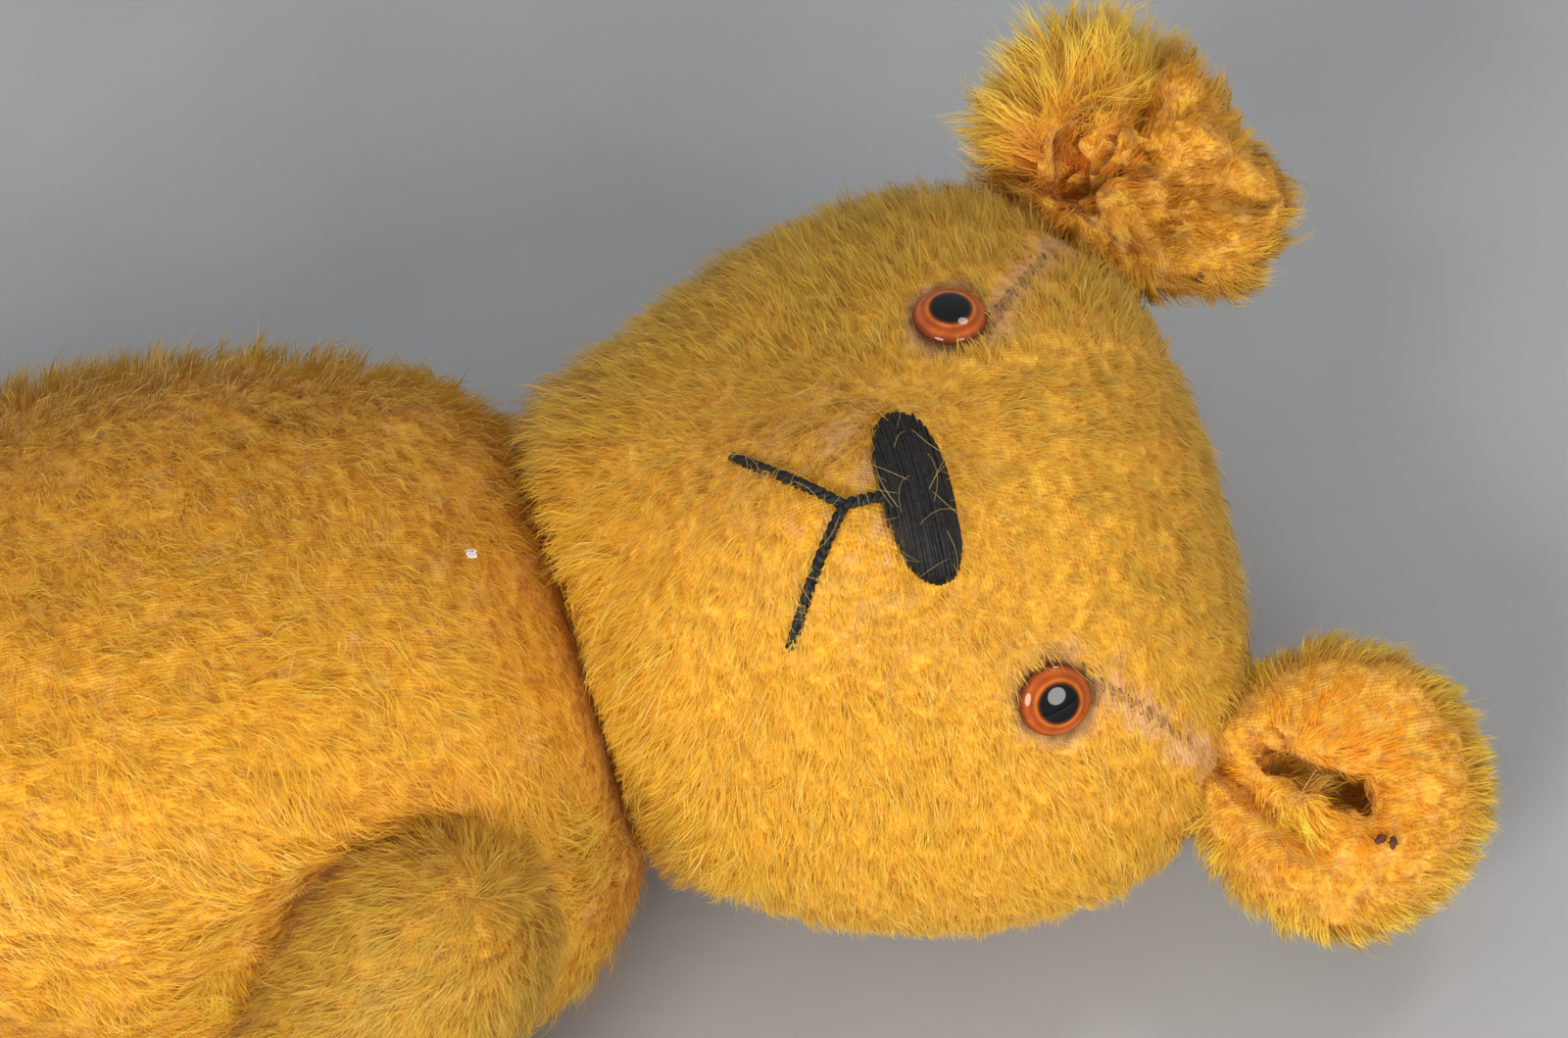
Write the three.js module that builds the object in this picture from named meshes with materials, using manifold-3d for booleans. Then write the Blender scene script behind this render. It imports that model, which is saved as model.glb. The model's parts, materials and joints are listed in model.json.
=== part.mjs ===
// A traditional five-way jointed teddy bear of golden mohair, lying on its back.
// Millimetres. +X runs up the body to the crown, -Y is the bear's left, +Z is its front.
// The origin is on the flat of the back, where the torso lies on the table.
import * as THREE from 'three';
import { mergeVertices } from 'three/addons/utils/BufferGeometryUtils.js';
import Module from 'manifold-3d';

const wasm = await Module();
wasm.setup();

// Driving dimensions
const CLOTH = 1.5; // mohair pile cloth, without its pile
const GAP = 0.3; // clearance between pieces that touch
const HALF_GAP = GAP / 2;

const NECK = { x: 100, z: 60, discRadius: 28 };
const HEAD_TURN = THREE.MathUtils.degToRad(30); // the head looks to the bear's left
const SHOULDER = { x: 62, y: 54, z: 75, discRadius: 14, flatRadius: 16.5, slope: 0.45 };
const RIGHT_SHOULDER = { ...SHOULDER, z: 52 }; // the right shoulder has sunk towards the back
const HIP = { x: -60, y: 54, z: 60, discRadius: 20, flatRadius: 21.5, slope: 0.4 };
const ARM_ANGLE = THREE.MathUtils.degToRad(-50); // the arms reach back to the table
const RIGHT_ARM_ANGLE = THREE.MathUtils.degToRad(-30);
const LEG_ANGLE = THREE.MathUtils.degToRad(-14); // the heels lie on the table
const CONE_END = { arm: 160, leg: 60 }; // past this radius a limb's inner face runs straight
const CONE_REACH = 260;
const FAR = 300; // beyond every piece, for the blocks that trim them

const TORSO_WIDTHS = [
  [33, 99.85], [40, 96], [50, 87.5], [58, 76], [63.5, 60], [68.5, 38], [71.5, 15],
  [72, -5], [71, -30], [67.5, -52], [61, -74], [48, -92], [28, -103], [0, -108],
];
const TORSO_AXIS = { neck: 60, belly: 65, from: 100, to: 20 };
const TORSO_DEPTH = { front: 0.91, back: 1.0, squareness: 2.5 };

const HEAD_WIDTHS = [
  [33, 0.15], [40, 3.5], [48, 11], [54, 20], [61, 32], [66.5, 48], [69, 64],
  [68, 82], [63, 96], [54, 107], [38, 116], [20, 120], [0, 121],
];
const HEAD_DEPTH = { neck: 0.97, crown: 0.76, blendTo: 45, crowding: 0.35, frontFrom: 12 };
const HEAD_ROWS = 120; // steps in the table of widths that the face is measured from
const MUZZLE = { height: 29, at: 50, across: 27, below: 30, above: 25 };
const EYE = { up: 82, side: 36.5, radius: 7, dome: 5, domeRows: 5, band: 1.2, bevel: 0.6, lift: -0.3 };
const SHANK = { length: 14, radius: 0.9, hole: 1.5, pocket: 2.1, spare: 2, holeDepth: 6 };
const EAR = { up: 125, side: 58, back: -4, radius: 26, thickness: 3.4, cup: 9, lean: 0.56 };
const NOSE = {
  up: 68, halfWidth: 15.5, halfHeight: 7, thickness: 1.6, under: 0.2, lift: 0.4, squareness: 2.6,
};
const MOUTH = { join: 55, end: 39, side: 18.6, thread: 1.3, lift: 0.9, cross: 0.5, tuck: 1 };

const ARM_WIDTHS = [
  [0, -22.5], [11.5, -20], [19, -12], [22, 0], [23, 20], [23, 45], [21.5, 68], [20, 86],
  [17.5, 101], [11, 111], [0, 114],
];
const ARM = { bend: 20, bendAt: 95, inner: 0.86, outer: 1.12, axis: 10.5 };
const LEG_WIDTHS = [
  [0, -29], [15, -26], [26, -15], [30, 0], [30, 30], [28.5, 60], [25.5, 92], [23.5, 120],
  [22, 138], [14, 148], [0, 152],
];
const LEG = { inner: 0.8, outer: 0.93, axis: 14.5, straightFrom: 90 };
const FOOT = {
  along: 134, forward: 13, halfLength: 43, halfDepth: 26, halfWidth: 22, sole: 151, clear: 1,
};
const FOOT_AXIS = FOOT.halfWidth + FOOT.clear + HIP.slope * (CONE_END.leg - HIP.flatRadius);
const PAW_PAD = { along: 88, halfLength: 18, halfWidth: 12, low: 0.5, high: 1.9 };
const FOOT_PAD = { halfLength: 33, halfWidth: 15.5, low: -1.4, high: 0 };
const WINDOW = 6; // how far the cut for a pad reaches out past the cloth

const DISC_THICKNESS = 3;
const WASHER = { radius: 8, thickness: 1 };
const PIN = {
  radius: 1.5, hole: 2.2, loop: 3.2, loopWire: 1.0, curl: 3, curlWire: 0.8, apart: 0.6, open: 2.7,
};
const POCKET = { side: 1, end: 0.3, pinSide: 3, pinDepth: 11 };

const ROUND = { torso: 18, head: 22, limb: 12, disc: 16, washer: 10, cone: 18, ear: 14, eye: 16 };
const ROWS = { torso: 14, head: 14, arm: 10, leg: 10 };

// Solids
function mergedGeometry(geometry) {
  const bare = geometry.clone();
  bare.deleteAttribute('normal');
  bare.deleteAttribute('uv');
  return mergeVertices(bare, 1e-3);
}

function trianglesOf(geometry) {
  const kept = [];
  const index = geometry.index.array;
  for (let i = 0; i < index.length; i += 3) {
    const [a, b, c] = [index[i], index[i + 1], index[i + 2]];
    if (a !== b && b !== c && c !== a) {
      kept.push(a, b, c);
    }
  }
  return kept;
}

function signedVolume(positions, triangles) {
  const [a, b, c] = [new THREE.Vector3(), new THREE.Vector3(), new THREE.Vector3()];
  let sum = 0;
  for (let i = 0; i < triangles.length; i += 3) {
    a.fromArray(positions, 3 * triangles[i]);
    b.fromArray(positions, 3 * triangles[i + 1]);
    c.fromArray(positions, 3 * triangles[i + 2]);
    sum += a.dot(b.cross(c)) / 6;
  }
  return sum;
}

function facingOut(geometry) {
  const merged = mergedGeometry(geometry);
  const triangles = trianglesOf(merged);
  if (signedVolume(merged.attributes.position.array, triangles) < 0) {
    for (let i = 0; i < triangles.length; i += 3) {
      [triangles[i + 1], triangles[i + 2]] = [triangles[i + 2], triangles[i + 1]];
    }
  }
  const out = new THREE.BufferGeometry();
  out.setAttribute('position', merged.attributes.position.clone());
  out.setIndex(triangles);
  return out;
}

function solid(geometry) {
  const closed = facingOut(geometry);
  return new wasm.Manifold(new wasm.Mesh({
    numProp: 3,
    vertProperties: new Float32Array(closed.attributes.position.array),
    triVerts: new Uint32Array(closed.index.array),
  }));
}

function geometryOf(manifold) {
  const mesh = manifold.getMesh();
  const out = new THREE.BufferGeometry();
  out.setAttribute('position', new THREE.BufferAttribute(new Float32Array(mesh.vertProperties), 3));
  out.setIndex(Array.from(mesh.triVerts));
  return out;
}

function reshaped(geometry, change) {
  const out = geometry.clone();
  const place = out.attributes.position;
  const point = new THREE.Vector3();
  for (let i = 0; i < place.count; i += 1) {
    point.fromBufferAttribute(place, i);
    change(point);
    place.setXYZ(i, point.x, point.y, point.z);
  }
  return out;
}

// The same closed surface, moved in along its normals.
function inset(geometry, distance) {
  const closed = facingOut(geometry);
  closed.computeVertexNormals();
  const place = closed.attributes.position;
  const normal = closed.attributes.normal;
  for (let i = 0; i < place.count; i += 1) {
    place.setXYZ(
      i,
      place.getX(i) - distance * normal.getX(i),
      place.getY(i) - distance * normal.getY(i),
      place.getZ(i) - distance * normal.getZ(i),
    );
  }
  return closed;
}

function mirrored(geometry) {
  return facingOut(reshaped(geometry, (p) => {
    p.y = -p.y;
  }));
}

function block(low, high) {
  const size = new THREE.Vector3().subVectors(high, low);
  const middle = new THREE.Vector3().addVectors(low, high).multiplyScalar(0.5);
  return new THREE.BoxGeometry(size.x, size.y, size.z).translate(middle.x, middle.y, middle.z);
}

// A cylinder on the Y axis, from one level to another.
function plug(radius, from, to, sides) {
  return new THREE.CylinderGeometry(radius, radius, to - from, sides)
    .translate(0, (from + to) / 2, 0);
}

function wire(points, radius) {
  const sides = 6;
  const section = new THREE.Shape(Array.from({ length: sides }, (_, i) => {
    const angle = (2 * Math.PI * i) / sides;
    return new THREE.Vector2(radius * Math.cos(angle), radius * Math.sin(angle));
  }));
  const path = new THREE.CatmullRomCurve3(points);
  return new THREE.ExtrudeGeometry(section, {
    steps: points.length + 1, extrudePath: path, bevelEnabled: false,
  });
}

// A profile of [radius, y] points, turned about the Y axis.
function spun(profile, sides) {
  return new THREE.LatheGeometry(profile.map(([r, y]) => new THREE.Vector2(r, y)), sides);
}

// A lathed body on the X axis through [radius, x] stations, with an optional flat first end.
function barrel(stations, rows, sides, flatEnd) {
  const curve = new THREE.SplineCurve(stations.map(([r, x]) => new THREE.Vector2(r, x)));
  const profile = curve.getPoints(rows);
  profile[rows].x = 0;
  if (flatEnd) {
    profile.unshift(new THREE.Vector2(0, stations[0][1]));
  } else {
    profile[0].x = 0;
  }
  return new THREE.LatheGeometry(profile, sides).rotateZ(-Math.PI / 2);
}

function smooth(from, to, value) {
  return THREE.MathUtils.smoothstep(value, from, to);
}

// Joint faces: each limb turns on a flat disc that a shallow cone surrounds
function coneProfile(joint, end, slope) {
  return [[0, 0], [joint.flatRadius, 0], [end, slope * (end - joint.flatRadius)]];
}

// Everything beyond the cone, on the side that the limb keeps to.
function aboveCone(joint, lift) {
  const clear = joint.slope * Math.cos(Math.PI / ROUND.cone) ** 2;
  const end = CONE_END.arm;
  const profile = [...coneProfile(joint, end, clear), [end, FAR], [0, FAR]];
  return spun(profile.map(([r, y]) => [r, y + lift]), ROUND.cone);
}

// Everything short of the cone, on the torso's side.
function belowCone(joint, end, lift) {
  const profile = coneProfile(joint, end, joint.slope).map(([r, y]) => [r, y + lift]);
  return spun([...profile, [CONE_REACH, profile[2][1]], [CONE_REACH, -FAR], [0, -FAR]], ROUND.cone);
}

// Torso
function torsoAxis(x) {
  const { neck, belly, from, to } = TORSO_AXIS;
  return neck + (belly - neck) * (1 - smooth(to, from, x));
}

// How far a circle's radius grows, in one direction, to fill out a rounded square.
function squareGrowth(a, b, power) {
  const reach = Math.hypot(a, b);
  return reach < 1e-6 ? 1 : reach / (Math.abs(a) ** power + Math.abs(b) ** power) ** (1 / power);
}

function torsoSkin() {
  const body = barrel(TORSO_WIDTHS, ROWS.torso, ROUND.torso, true);
  return reshaped(body, (p) => {
    p.z *= p.z > 0 ? TORSO_DEPTH.front : TORSO_DEPTH.back;
    const grow = squareGrowth(p.y, p.z, TORSO_DEPTH.squareness);
    p.y *= grow;
    p.z = torsoAxis(p.x) + p.z * grow;
  });
}

function torsoSolid(depth) {
  const below = block(new THREE.Vector3(-FAR, -FAR, -FAR), new THREE.Vector3(FAR, FAR, depth));
  let body = solid(depth ? inset(torsoSkin(), depth) : torsoSkin()).subtract(solid(below));
  for (const { joint, side } of limbs) {
    const dish = aboveCone(joint, joint.y - HALF_GAP - depth);
    if (side < 0) dish.rotateX(Math.PI);
    body = body.subtract(solid(dish.translate(joint.x, 0, joint.z)));
  }
  return body;
}

// Head, in its own frame: +X to the crown from the neck, +Z to the muzzle
const HEAD_PROFILE = new THREE.SplineCurve(
  HEAD_WIDTHS.map(([r, x]) => new THREE.Vector2(r, x)),
).getPoints(HEAD_ROWS);

function headWidth(up) {
  const after = HEAD_PROFILE.findIndex((p) => p.y >= up);
  const [p, q] = [HEAD_PROFILE[Math.max(after - 1, 0)], HEAD_PROFILE[after]];
  return q.y === p.y ? q.x : THREE.MathUtils.mapLinear(up, p.y, q.y, p.x, q.x);
}

function depthRatio(up) {
  const { neck, crown, blendTo } = HEAD_DEPTH;
  return neck + (crown - neck) * smooth(0, blendTo, up);
}

function muzzle(up, side) {
  const reach = up > MUZZLE.at ? MUZZLE.above : MUZZLE.below;
  const fall = (side / MUZZLE.across) ** 2 + ((up - MUZZLE.at) / reach) ** 2;
  return MUZZLE.height * Math.exp(-fall);
}

function faceDepth(up, side) {
  const width = headWidth(up);
  const round = Math.sqrt(Math.max(0, 1 - (side / width) ** 2));
  return width * depthRatio(up) * round + muzzle(up, side);
}

function facePoint(up, side, lift = 0) {
  const step = 0.5;
  const alongUp = (faceDepth(up + step, side) - faceDepth(up - step, side)) / (2 * step);
  const alongSide = (faceDepth(up, side + step) - faceDepth(up, side - step)) / (2 * step);
  const normal = new THREE.Vector3(-alongUp, -alongSide, 1).normalize();
  const place = new THREE.Vector3(up, side, faceDepth(up, side)).addScaledVector(normal, lift);
  return { place, normal };
}

// Turns a point round the head so that the facets are narrower over the muzzle.
function closerInFront(p) {
  const reach = Math.hypot(p.y, p.z);
  const angle = Math.atan2(p.y, p.z);
  const turned = angle - HEAD_DEPTH.crowding * Math.sin(angle);
  p.y = reach * Math.sin(turned);
  p.z = reach * Math.cos(turned);
}

function headSkin() {
  const body = barrel(HEAD_WIDTHS, ROWS.head, ROUND.head, true);
  return reshaped(body, (p) => {
    closerInFront(p);
    const front = smooth(0, HEAD_DEPTH.frontFrom, p.z);
    p.z = p.z * depthRatio(p.x) + front * muzzle(p.x, p.y);
  });
}

const headSolid = (depth) => solid(depth ? inset(headSkin(), depth) : headSkin());

// Ears: two thicknesses of cloth sewn round their edge, cupped forwards
function earGeometry() {
  const { up, side, back, radius, thickness, cup, lean } = EAR;
  const disc = reshaped(new THREE.SphereGeometry(1, ROUND.ear, 8).rotateX(Math.PI / 2), (p) => {
    const rim = Math.min(1, p.x * p.x + p.y * p.y);
    p.z = Math.sign(p.z) * thickness * Math.sqrt(Math.max(0, 1 - rim ** 4)) + cup * rim;
    p.x *= radius;
    p.y *= radius;
  });
  const ear = disc.rotateZ(lean).translate(up, side, back);
  return geometryOf(solid(ear).subtract(headSolid(-GAP)));
}

// Eyes: a glass dome with a flat back, and the wire shank moulded into it
function eyeFrame() {
  const { place, normal } = facePoint(EYE.up, EYE.side, EYE.lift);
  const turn = new THREE.Quaternion().setFromUnitVectors(new THREE.Vector3(0, 1, 0), normal);
  return new THREE.Matrix4().compose(place, turn, new THREE.Vector3(1, 1, 1));
}

function eyeGeometry() {
  const dome = Array.from({ length: EYE.domeRows }, (_, i) => {
    const angle = (Math.PI / 2) * (i / EYE.domeRows);
    return [EYE.radius * Math.cos(angle), EYE.band + EYE.dome * Math.sin(angle)];
  });
  const profile = [[0, 0], [EYE.radius - EYE.bevel, 0], ...dome, [0, EYE.band + EYE.dome]];
  const glass = spun(profile, ROUND.eye).applyMatrix4(eyeFrame());
  return geometryOf(solid(glass).subtract(headSolid(-GAP)));
}

function shank(radius, from, to) {
  return plug(radius, from, to, 8).applyMatrix4(eyeFrame());
}

// Nose: satin stitches over an oval; mouth: three straight stitches of twisted thread
function noseGeometry() {
  const stitches = reshaped(new THREE.SphereGeometry(1, 16, 6).rotateX(Math.PI / 2), (p) => {
    const grow = squareGrowth(p.x, p.y, NOSE.squareness);
    const lift = NOSE.thickness * (p.z > 0 ? p.z : NOSE.under * p.z) + NOSE.lift;
    const up = NOSE.up + NOSE.halfHeight * grow * p.x;
    p.copy(facePoint(up, NOSE.halfWidth * grow * p.y, lift).place);
  });
  return geometryOf(solid(stitches).subtract(headSolid(-GAP)));
}

function stitch(from, to) {
  const points = [0, 0.25, 0.5, 0.75, 1].map((t) => facePoint(
    THREE.MathUtils.lerp(from[0], to[0], t),
    THREE.MathUtils.lerp(from[1], to[1], t),
    MOUTH.lift,
  ).place);
  return solid(wire(points, MOUTH.thread));
}

function mouthGeometry() {
  const join = [MOUTH.join, 0];
  const { cross } = MOUTH;
  const noseEdge = NOSE.up - NOSE.halfHeight;
  const strokes = stitch([noseEdge - MOUTH.tuck, 0], join)
    .add(stitch([MOUTH.join + cross, -cross], [MOUTH.end, MOUTH.side]))
    .add(stitch([MOUTH.join + cross, cross], [MOUTH.end, -MOUTH.side]));
  const nose = block(new THREE.Vector3(noseEdge - GAP, -FAR, 0), new THREE.Vector3(FAR, FAR, FAR));
  return geometryOf(strokes.subtract(headSolid(-GAP)).subtract(solid(nose)));
}

// Limbs, in their own frame: from the joint along -X, outwards along +Y, forwards along +Z
function limbSkin(widths, rows, shape) {
  const body = barrel(widths, rows, ROUND.limb, false).rotateZ(Math.PI);
  return reshaped(body, shape);
}

function armSkin() {
  return limbSkin(ARM_WIDTHS, ROWS.arm, (p) => {
    const along = -p.x;
    p.y *= p.y > 0 ? ARM.outer : ARM.inner;
    p.y += ARM.axis + SHOULDER.slope * Math.max(0, along - SHOULDER.flatRadius);
    p.z += along > 0 ? ARM.bend * (along / ARM.bendAt) ** 2 : 0;
  });
}

function legSkin() {
  return limbSkin(LEG_WIDTHS, ROWS.leg, (p) => {
    p.y *= p.y > 0 ? LEG.outer : LEG.inner;
    p.y += LEG.axis + (FOOT_AXIS - LEG.axis) * smooth(0, LEG.straightFrom, -p.x);
  });
}

function footSkin() {
  const { along, forward, halfLength, halfDepth, halfWidth } = FOOT;
  return new THREE.SphereGeometry(1, ROUND.limb, 8)
    .scale(halfDepth, halfWidth, halfLength)
    .translate(-along, FOOT_AXIS, forward);
}

function tableUnder(joint, angle, depth) {
  const low = new THREE.Vector3(-FAR, -FAR, -FAR);
  return block(low, new THREE.Vector3(FAR, FAR, depth - joint.z)).rotateY(-angle);
}

function armSolid(depth) {
  const body = solid(depth ? inset(armSkin(), depth) : armSkin());
  const inner = belowCone(SHOULDER, CONE_END.arm, HALF_GAP + depth);
  return body.subtract(solid(inner));
}

function legSolid(depth) {
  const shin = solid(depth ? inset(legSkin(), depth) : legSkin());
  const foot = solid(depth ? inset(footSkin(), depth) : footSkin());
  const low = new THREE.Vector3(-FAR, -FAR, -FAR);
  const sole = block(low, new THREE.Vector3(-FOOT.sole + depth, FAR, FAR));
  return shin.add(foot)
    .subtract(solid(sole))
    .subtract(solid(belowCone(HIP, CONE_END.leg, HALF_GAP + depth)))
    .subtract(solid(tableUnder(HIP, LEG_ANGLE, depth)));
}

// A felt pad, set in a window in the cloth: an oval plate on the Y axis between two levels
function oval(halfX, halfZ, low, high) {
  return new THREE.CylinderGeometry(1, 1, high - low, ROUND.disc)
    .scale(halfX, 1, halfZ)
    .translate(0, (low + high) / 2, 0);
}

function onPaw(geometry) {
  const forward = ARM.bend * (PAW_PAD.along / ARM.bendAt) ** 2;
  const radius = Math.hypot(PAW_PAD.along, forward);
  const face = HALF_GAP + SHOULDER.slope * (radius - SHOULDER.flatRadius);
  return geometry.rotateZ(-Math.atan(SHOULDER.slope)).translate(-PAW_PAD.along, face, forward);
}

function onSole(geometry) {
  return geometry.rotateZ(Math.PI / 2).translate(-FOOT.sole, FOOT_AXIS, FOOT.forward);
}

const pads = {
  paw: {
    felt: () => onPaw(oval(PAW_PAD.halfLength, PAW_PAD.halfWidth, PAW_PAD.low, PAW_PAD.high)),
    window: () => onPaw(oval(
      PAW_PAD.halfLength + GAP, PAW_PAD.halfWidth + GAP, -WINDOW, PAW_PAD.high + GAP,
    )),
  },
  foot: {
    felt: () => onSole(oval(FOOT_PAD.halfWidth, FOOT_PAD.halfLength, FOOT_PAD.low, FOOT_PAD.high)),
    window: () => onSole(oval(
      FOOT_PAD.halfWidth + GAP, FOOT_PAD.halfLength + GAP, FOOT_PAD.low - GAP, WINDOW,
    )),
  },
};

// Joint hardware, on the Y axis with the joint's face at 0
const STACK = {
  disc: HALF_GAP + CLOTH + GAP,
  washer: HALF_GAP + CLOTH + 2 * GAP + DISC_THICKNESS,
  end: HALF_GAP + CLOTH + 3 * GAP + DISC_THICKNESS + WASHER.thickness,
};

function pierced(radius, from, to, sides) {
  const hole = plug(PIN.hole, from - 1, to + 1, 8);
  return geometryOf(solid(plug(radius, from, to, sides)).subtract(solid(hole)));
}

const disc = (radius) => pierced(radius, STACK.disc, STACK.disc + DISC_THICKNESS, ROUND.disc);
const washer = () => pierced(
  WASHER.radius, STACK.washer, STACK.washer + WASHER.thickness, ROUND.washer,
);

function cotterPin() {
  const loopAt = STACK.end + PIN.loop + PIN.loopWire;
  const shaft = plug(PIN.radius, -STACK.end - PIN.radius, loopAt - PIN.loop, 6);
  const loop = new THREE.TorusGeometry(PIN.loop, PIN.loopWire, 5, 8).translate(0, loopAt, 0);
  let pin = solid(shaft).add(solid(loop));
  for (const side of [-1, 1]) {
    const curl = [0, 1, 2, 3, 4].map((i) => {
      const angle = (Math.PI / 4) * i;
      const x = side * (PIN.apart + PIN.open * (1 - Math.cos(angle)));
      return new THREE.Vector3(x, -STACK.end - PIN.loopWire - PIN.curl * Math.sin(angle), 0);
    });
    pin = pin.add(solid(wire(curl, PIN.curlWire)));
  }
  return geometryOf(pin);
}

// The space in the stuffing for a disc, its washer and the end of the pin.
function pocket(discRadius) {
  const { side, end, pinSide, pinDepth } = POCKET;
  const wide = plug(discRadius + side, HALF_GAP, STACK.end + end, ROUND.disc);
  const pinReach = PIN.loop + PIN.loopWire + pinSide;
  const deep = plug(pinReach, HALF_GAP, STACK.end + pinDepth, ROUND.washer);
  return solid(wide).add(solid(deep));
}

const pinHole = () => solid(plug(PIN.hole, -HALF_GAP - CLOTH - 1, HALF_GAP + CLOTH + 1, 8));

function placed(manifold, matrix) {
  return solid(geometryOf(manifold).applyMatrix4(matrix));
}

// Where each joint sits on the torso: +Y of the hardware points out of it
function onTorso(joint, side) {
  const turn = side > 0 ? new THREE.Matrix4() : new THREE.Matrix4().makeRotationX(Math.PI);
  return turn.setPosition(joint.x, side * joint.y, joint.z);
}
const NECK_TURN = new THREE.Matrix4().makeRotationZ(-Math.PI / 2);
const NECK_ON_TORSO = NECK_TURN.clone().setPosition(NECK.x, 0, NECK.z);
const INWARDS = new THREE.Matrix4().makeRotationX(Math.PI);

// Materials
function cloth(color) {
  return new THREE.MeshStandardMaterial({ color, roughness: 0.95, metalness: 0 });
}
const mohair = () => cloth(0xd9a030);
const woodWool = () => cloth(0xc8ae7a);
const felt = () => cloth(0xb98a52);
const blackThread = () => new THREE.MeshStandardMaterial({
  color: 0x15130f, roughness: 0.55, metalness: 0,
});
const amberGlass = () => new THREE.MeshStandardMaterial({
  color: 0xb4501a, roughness: 0.05, metalness: 0,
});
const fibreboard = () => cloth(0x7a5a3a);
const steel = () => new THREE.MeshStandardMaterial({
  color: 0x8d8a84, roughness: 0.4, metalness: 0.9,
});

function addPiece(group, name, geometry, material) {
  const mesh = new THREE.Mesh(geometry, material);
  mesh.name = name;
  group.add(mesh);
}

// Assembly
const bear = new THREE.Group();

const head = new THREE.Group();
head.position.set(NECK.x, 0, NECK.z);
head.rotation.x = HEAD_TURN;
bear.add(head);

const limbs = [
  { name: 'arm_left', kind: 'arm', joint: SHOULDER, side: -1, angle: ARM_ANGLE },
  { name: 'arm_right', kind: 'arm', joint: RIGHT_SHOULDER, side: 1, angle: RIGHT_ARM_ANGLE },
  { name: 'leg_left', kind: 'leg', joint: HIP, side: -1, angle: LEG_ANGLE },
  { name: 'leg_right', kind: 'leg', joint: HIP, side: 1, angle: LEG_ANGLE },
];

function addTorso() {
  let cover = torsoSolid(0).subtract(torsoSolid(CLOTH));
  let stuffing = torsoSolid(CLOTH + GAP);
  cover = cover.subtract(placed(pinHole(), NECK_ON_TORSO));
  const neckPocket = placed(placed(pocket(NECK.discRadius), INWARDS), NECK_ON_TORSO);
  stuffing = stuffing.subtract(neckPocket);
  for (const { joint, side } of limbs) {
    const at = onTorso(joint, side);
    cover = cover.subtract(placed(pinHole(), at));
    stuffing = stuffing.subtract(placed(placed(pocket(joint.discRadius), INWARDS), at));
  }
  addPiece(bear, 'torso_cover', geometryOf(cover), mohair());
  addPiece(bear, 'torso_stuffing', geometryOf(stuffing), woodWool());
}

function addTorsoHardware(name, discRadius, at) {
  const inside = at.clone().multiply(INWARDS);
  addPiece(bear, `${name}_disc_in_torso`, disc(discRadius).applyMatrix4(inside), fibreboard());
  addPiece(bear, `${name}_washer_in_torso`, washer().applyMatrix4(inside), steel());
  addPiece(bear, `${name}_cotter_pin`, cotterPin().applyMatrix4(at), steel());
}

function addHead() {
  const eyeHole = solid(shank(SHANK.hole, -SHANK.holeDepth, SHANK.spare));
  const eyePocket = solid(shank(SHANK.pocket, -SHANK.length - SHANK.spare, 0));
  const flip = new THREE.Matrix4().makeScale(1, -1, 1);
  const otherEyeHole = placed(eyeHole, flip);
  const otherEyePocket = placed(eyePocket, flip);
  const cover = headSolid(0).subtract(headSolid(CLOTH))
    .subtract(placed(pinHole(), NECK_TURN))
    .subtract(eyeHole)
    .subtract(otherEyeHole);
  const stuffing = headSolid(CLOTH + GAP)
    .subtract(placed(pocket(NECK.discRadius), NECK_TURN))
    .subtract(eyePocket)
    .subtract(otherEyePocket);
  addPiece(head, 'head_cover', geometryOf(cover), mohair());
  addPiece(head, 'head_stuffing', geometryOf(stuffing), woodWool());
  addPiece(head, 'ear_right', earGeometry(), mohair());
  addPiece(head, 'ear_left', mirrored(earGeometry()), mohair());
  addPiece(head, 'eye_right', eyeGeometry(), amberGlass());
  addPiece(head, 'eye_left', mirrored(eyeGeometry()), amberGlass());
  const wireShank = facingOut(shank(SHANK.radius, -SHANK.length, -GAP));
  addPiece(head, 'eye_shank_right', wireShank, steel());
  addPiece(head, 'eye_shank_left', mirrored(wireShank), steel());
  addPiece(head, 'nose_stitching', noseGeometry(), blackThread());
  addPiece(head, 'mouth_stitching', mouthGeometry(), blackThread());
  addPiece(head, 'neck_disc_in_head', disc(NECK.discRadius).applyMatrix4(NECK_TURN), fibreboard());
  addPiece(head, 'neck_washer_in_head', washer().applyMatrix4(NECK_TURN), steel());
}

function addLimb({ name, kind, joint, side, angle }) {
  const group = new THREE.Group();
  group.position.set(joint.x, side * joint.y, joint.z);
  group.rotation.y = angle;
  bear.add(group);
  const shape = kind === 'arm' ? armSolid : legSolid;
  const padShape = kind === 'arm' ? pads.paw : pads.foot;
  const padName = `${kind === 'arm' ? 'paw' : 'foot'}_pad_${side < 0 ? 'left' : 'right'}`;
  const window = solid(padShape.window());
  const cover = shape(0).subtract(shape(CLOTH)).subtract(pinHole()).subtract(window);
  const stuffing = shape(CLOTH + GAP).subtract(pocket(joint.discRadius)).subtract(window);
  const facing = (geometry) => (side > 0 ? facingOut(geometry) : mirrored(geometry));
  addPiece(group, `${name}_cover`, facing(geometryOf(cover)), mohair());
  addPiece(group, `${name}_stuffing`, facing(geometryOf(stuffing)), woodWool());
  addPiece(group, padName, facing(padShape.felt()), felt());
  addPiece(group, `${name}_disc_in_limb`, facing(disc(joint.discRadius)), fibreboard());
  addPiece(group, `${name}_washer_in_limb`, facing(washer()), steel());
}

addTorso();
addHead();
addTorsoHardware('neck', NECK.discRadius, NECK_ON_TORSO);
for (const limb of limbs) {
  addLimb(limb);
  addTorsoHardware(limb.name, limb.joint.discRadius, onTorso(limb.joint, limb.side));
}

export default bear;
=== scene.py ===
"""A worn, jointed mohair teddy bear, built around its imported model: a lesson in cells."""
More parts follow.
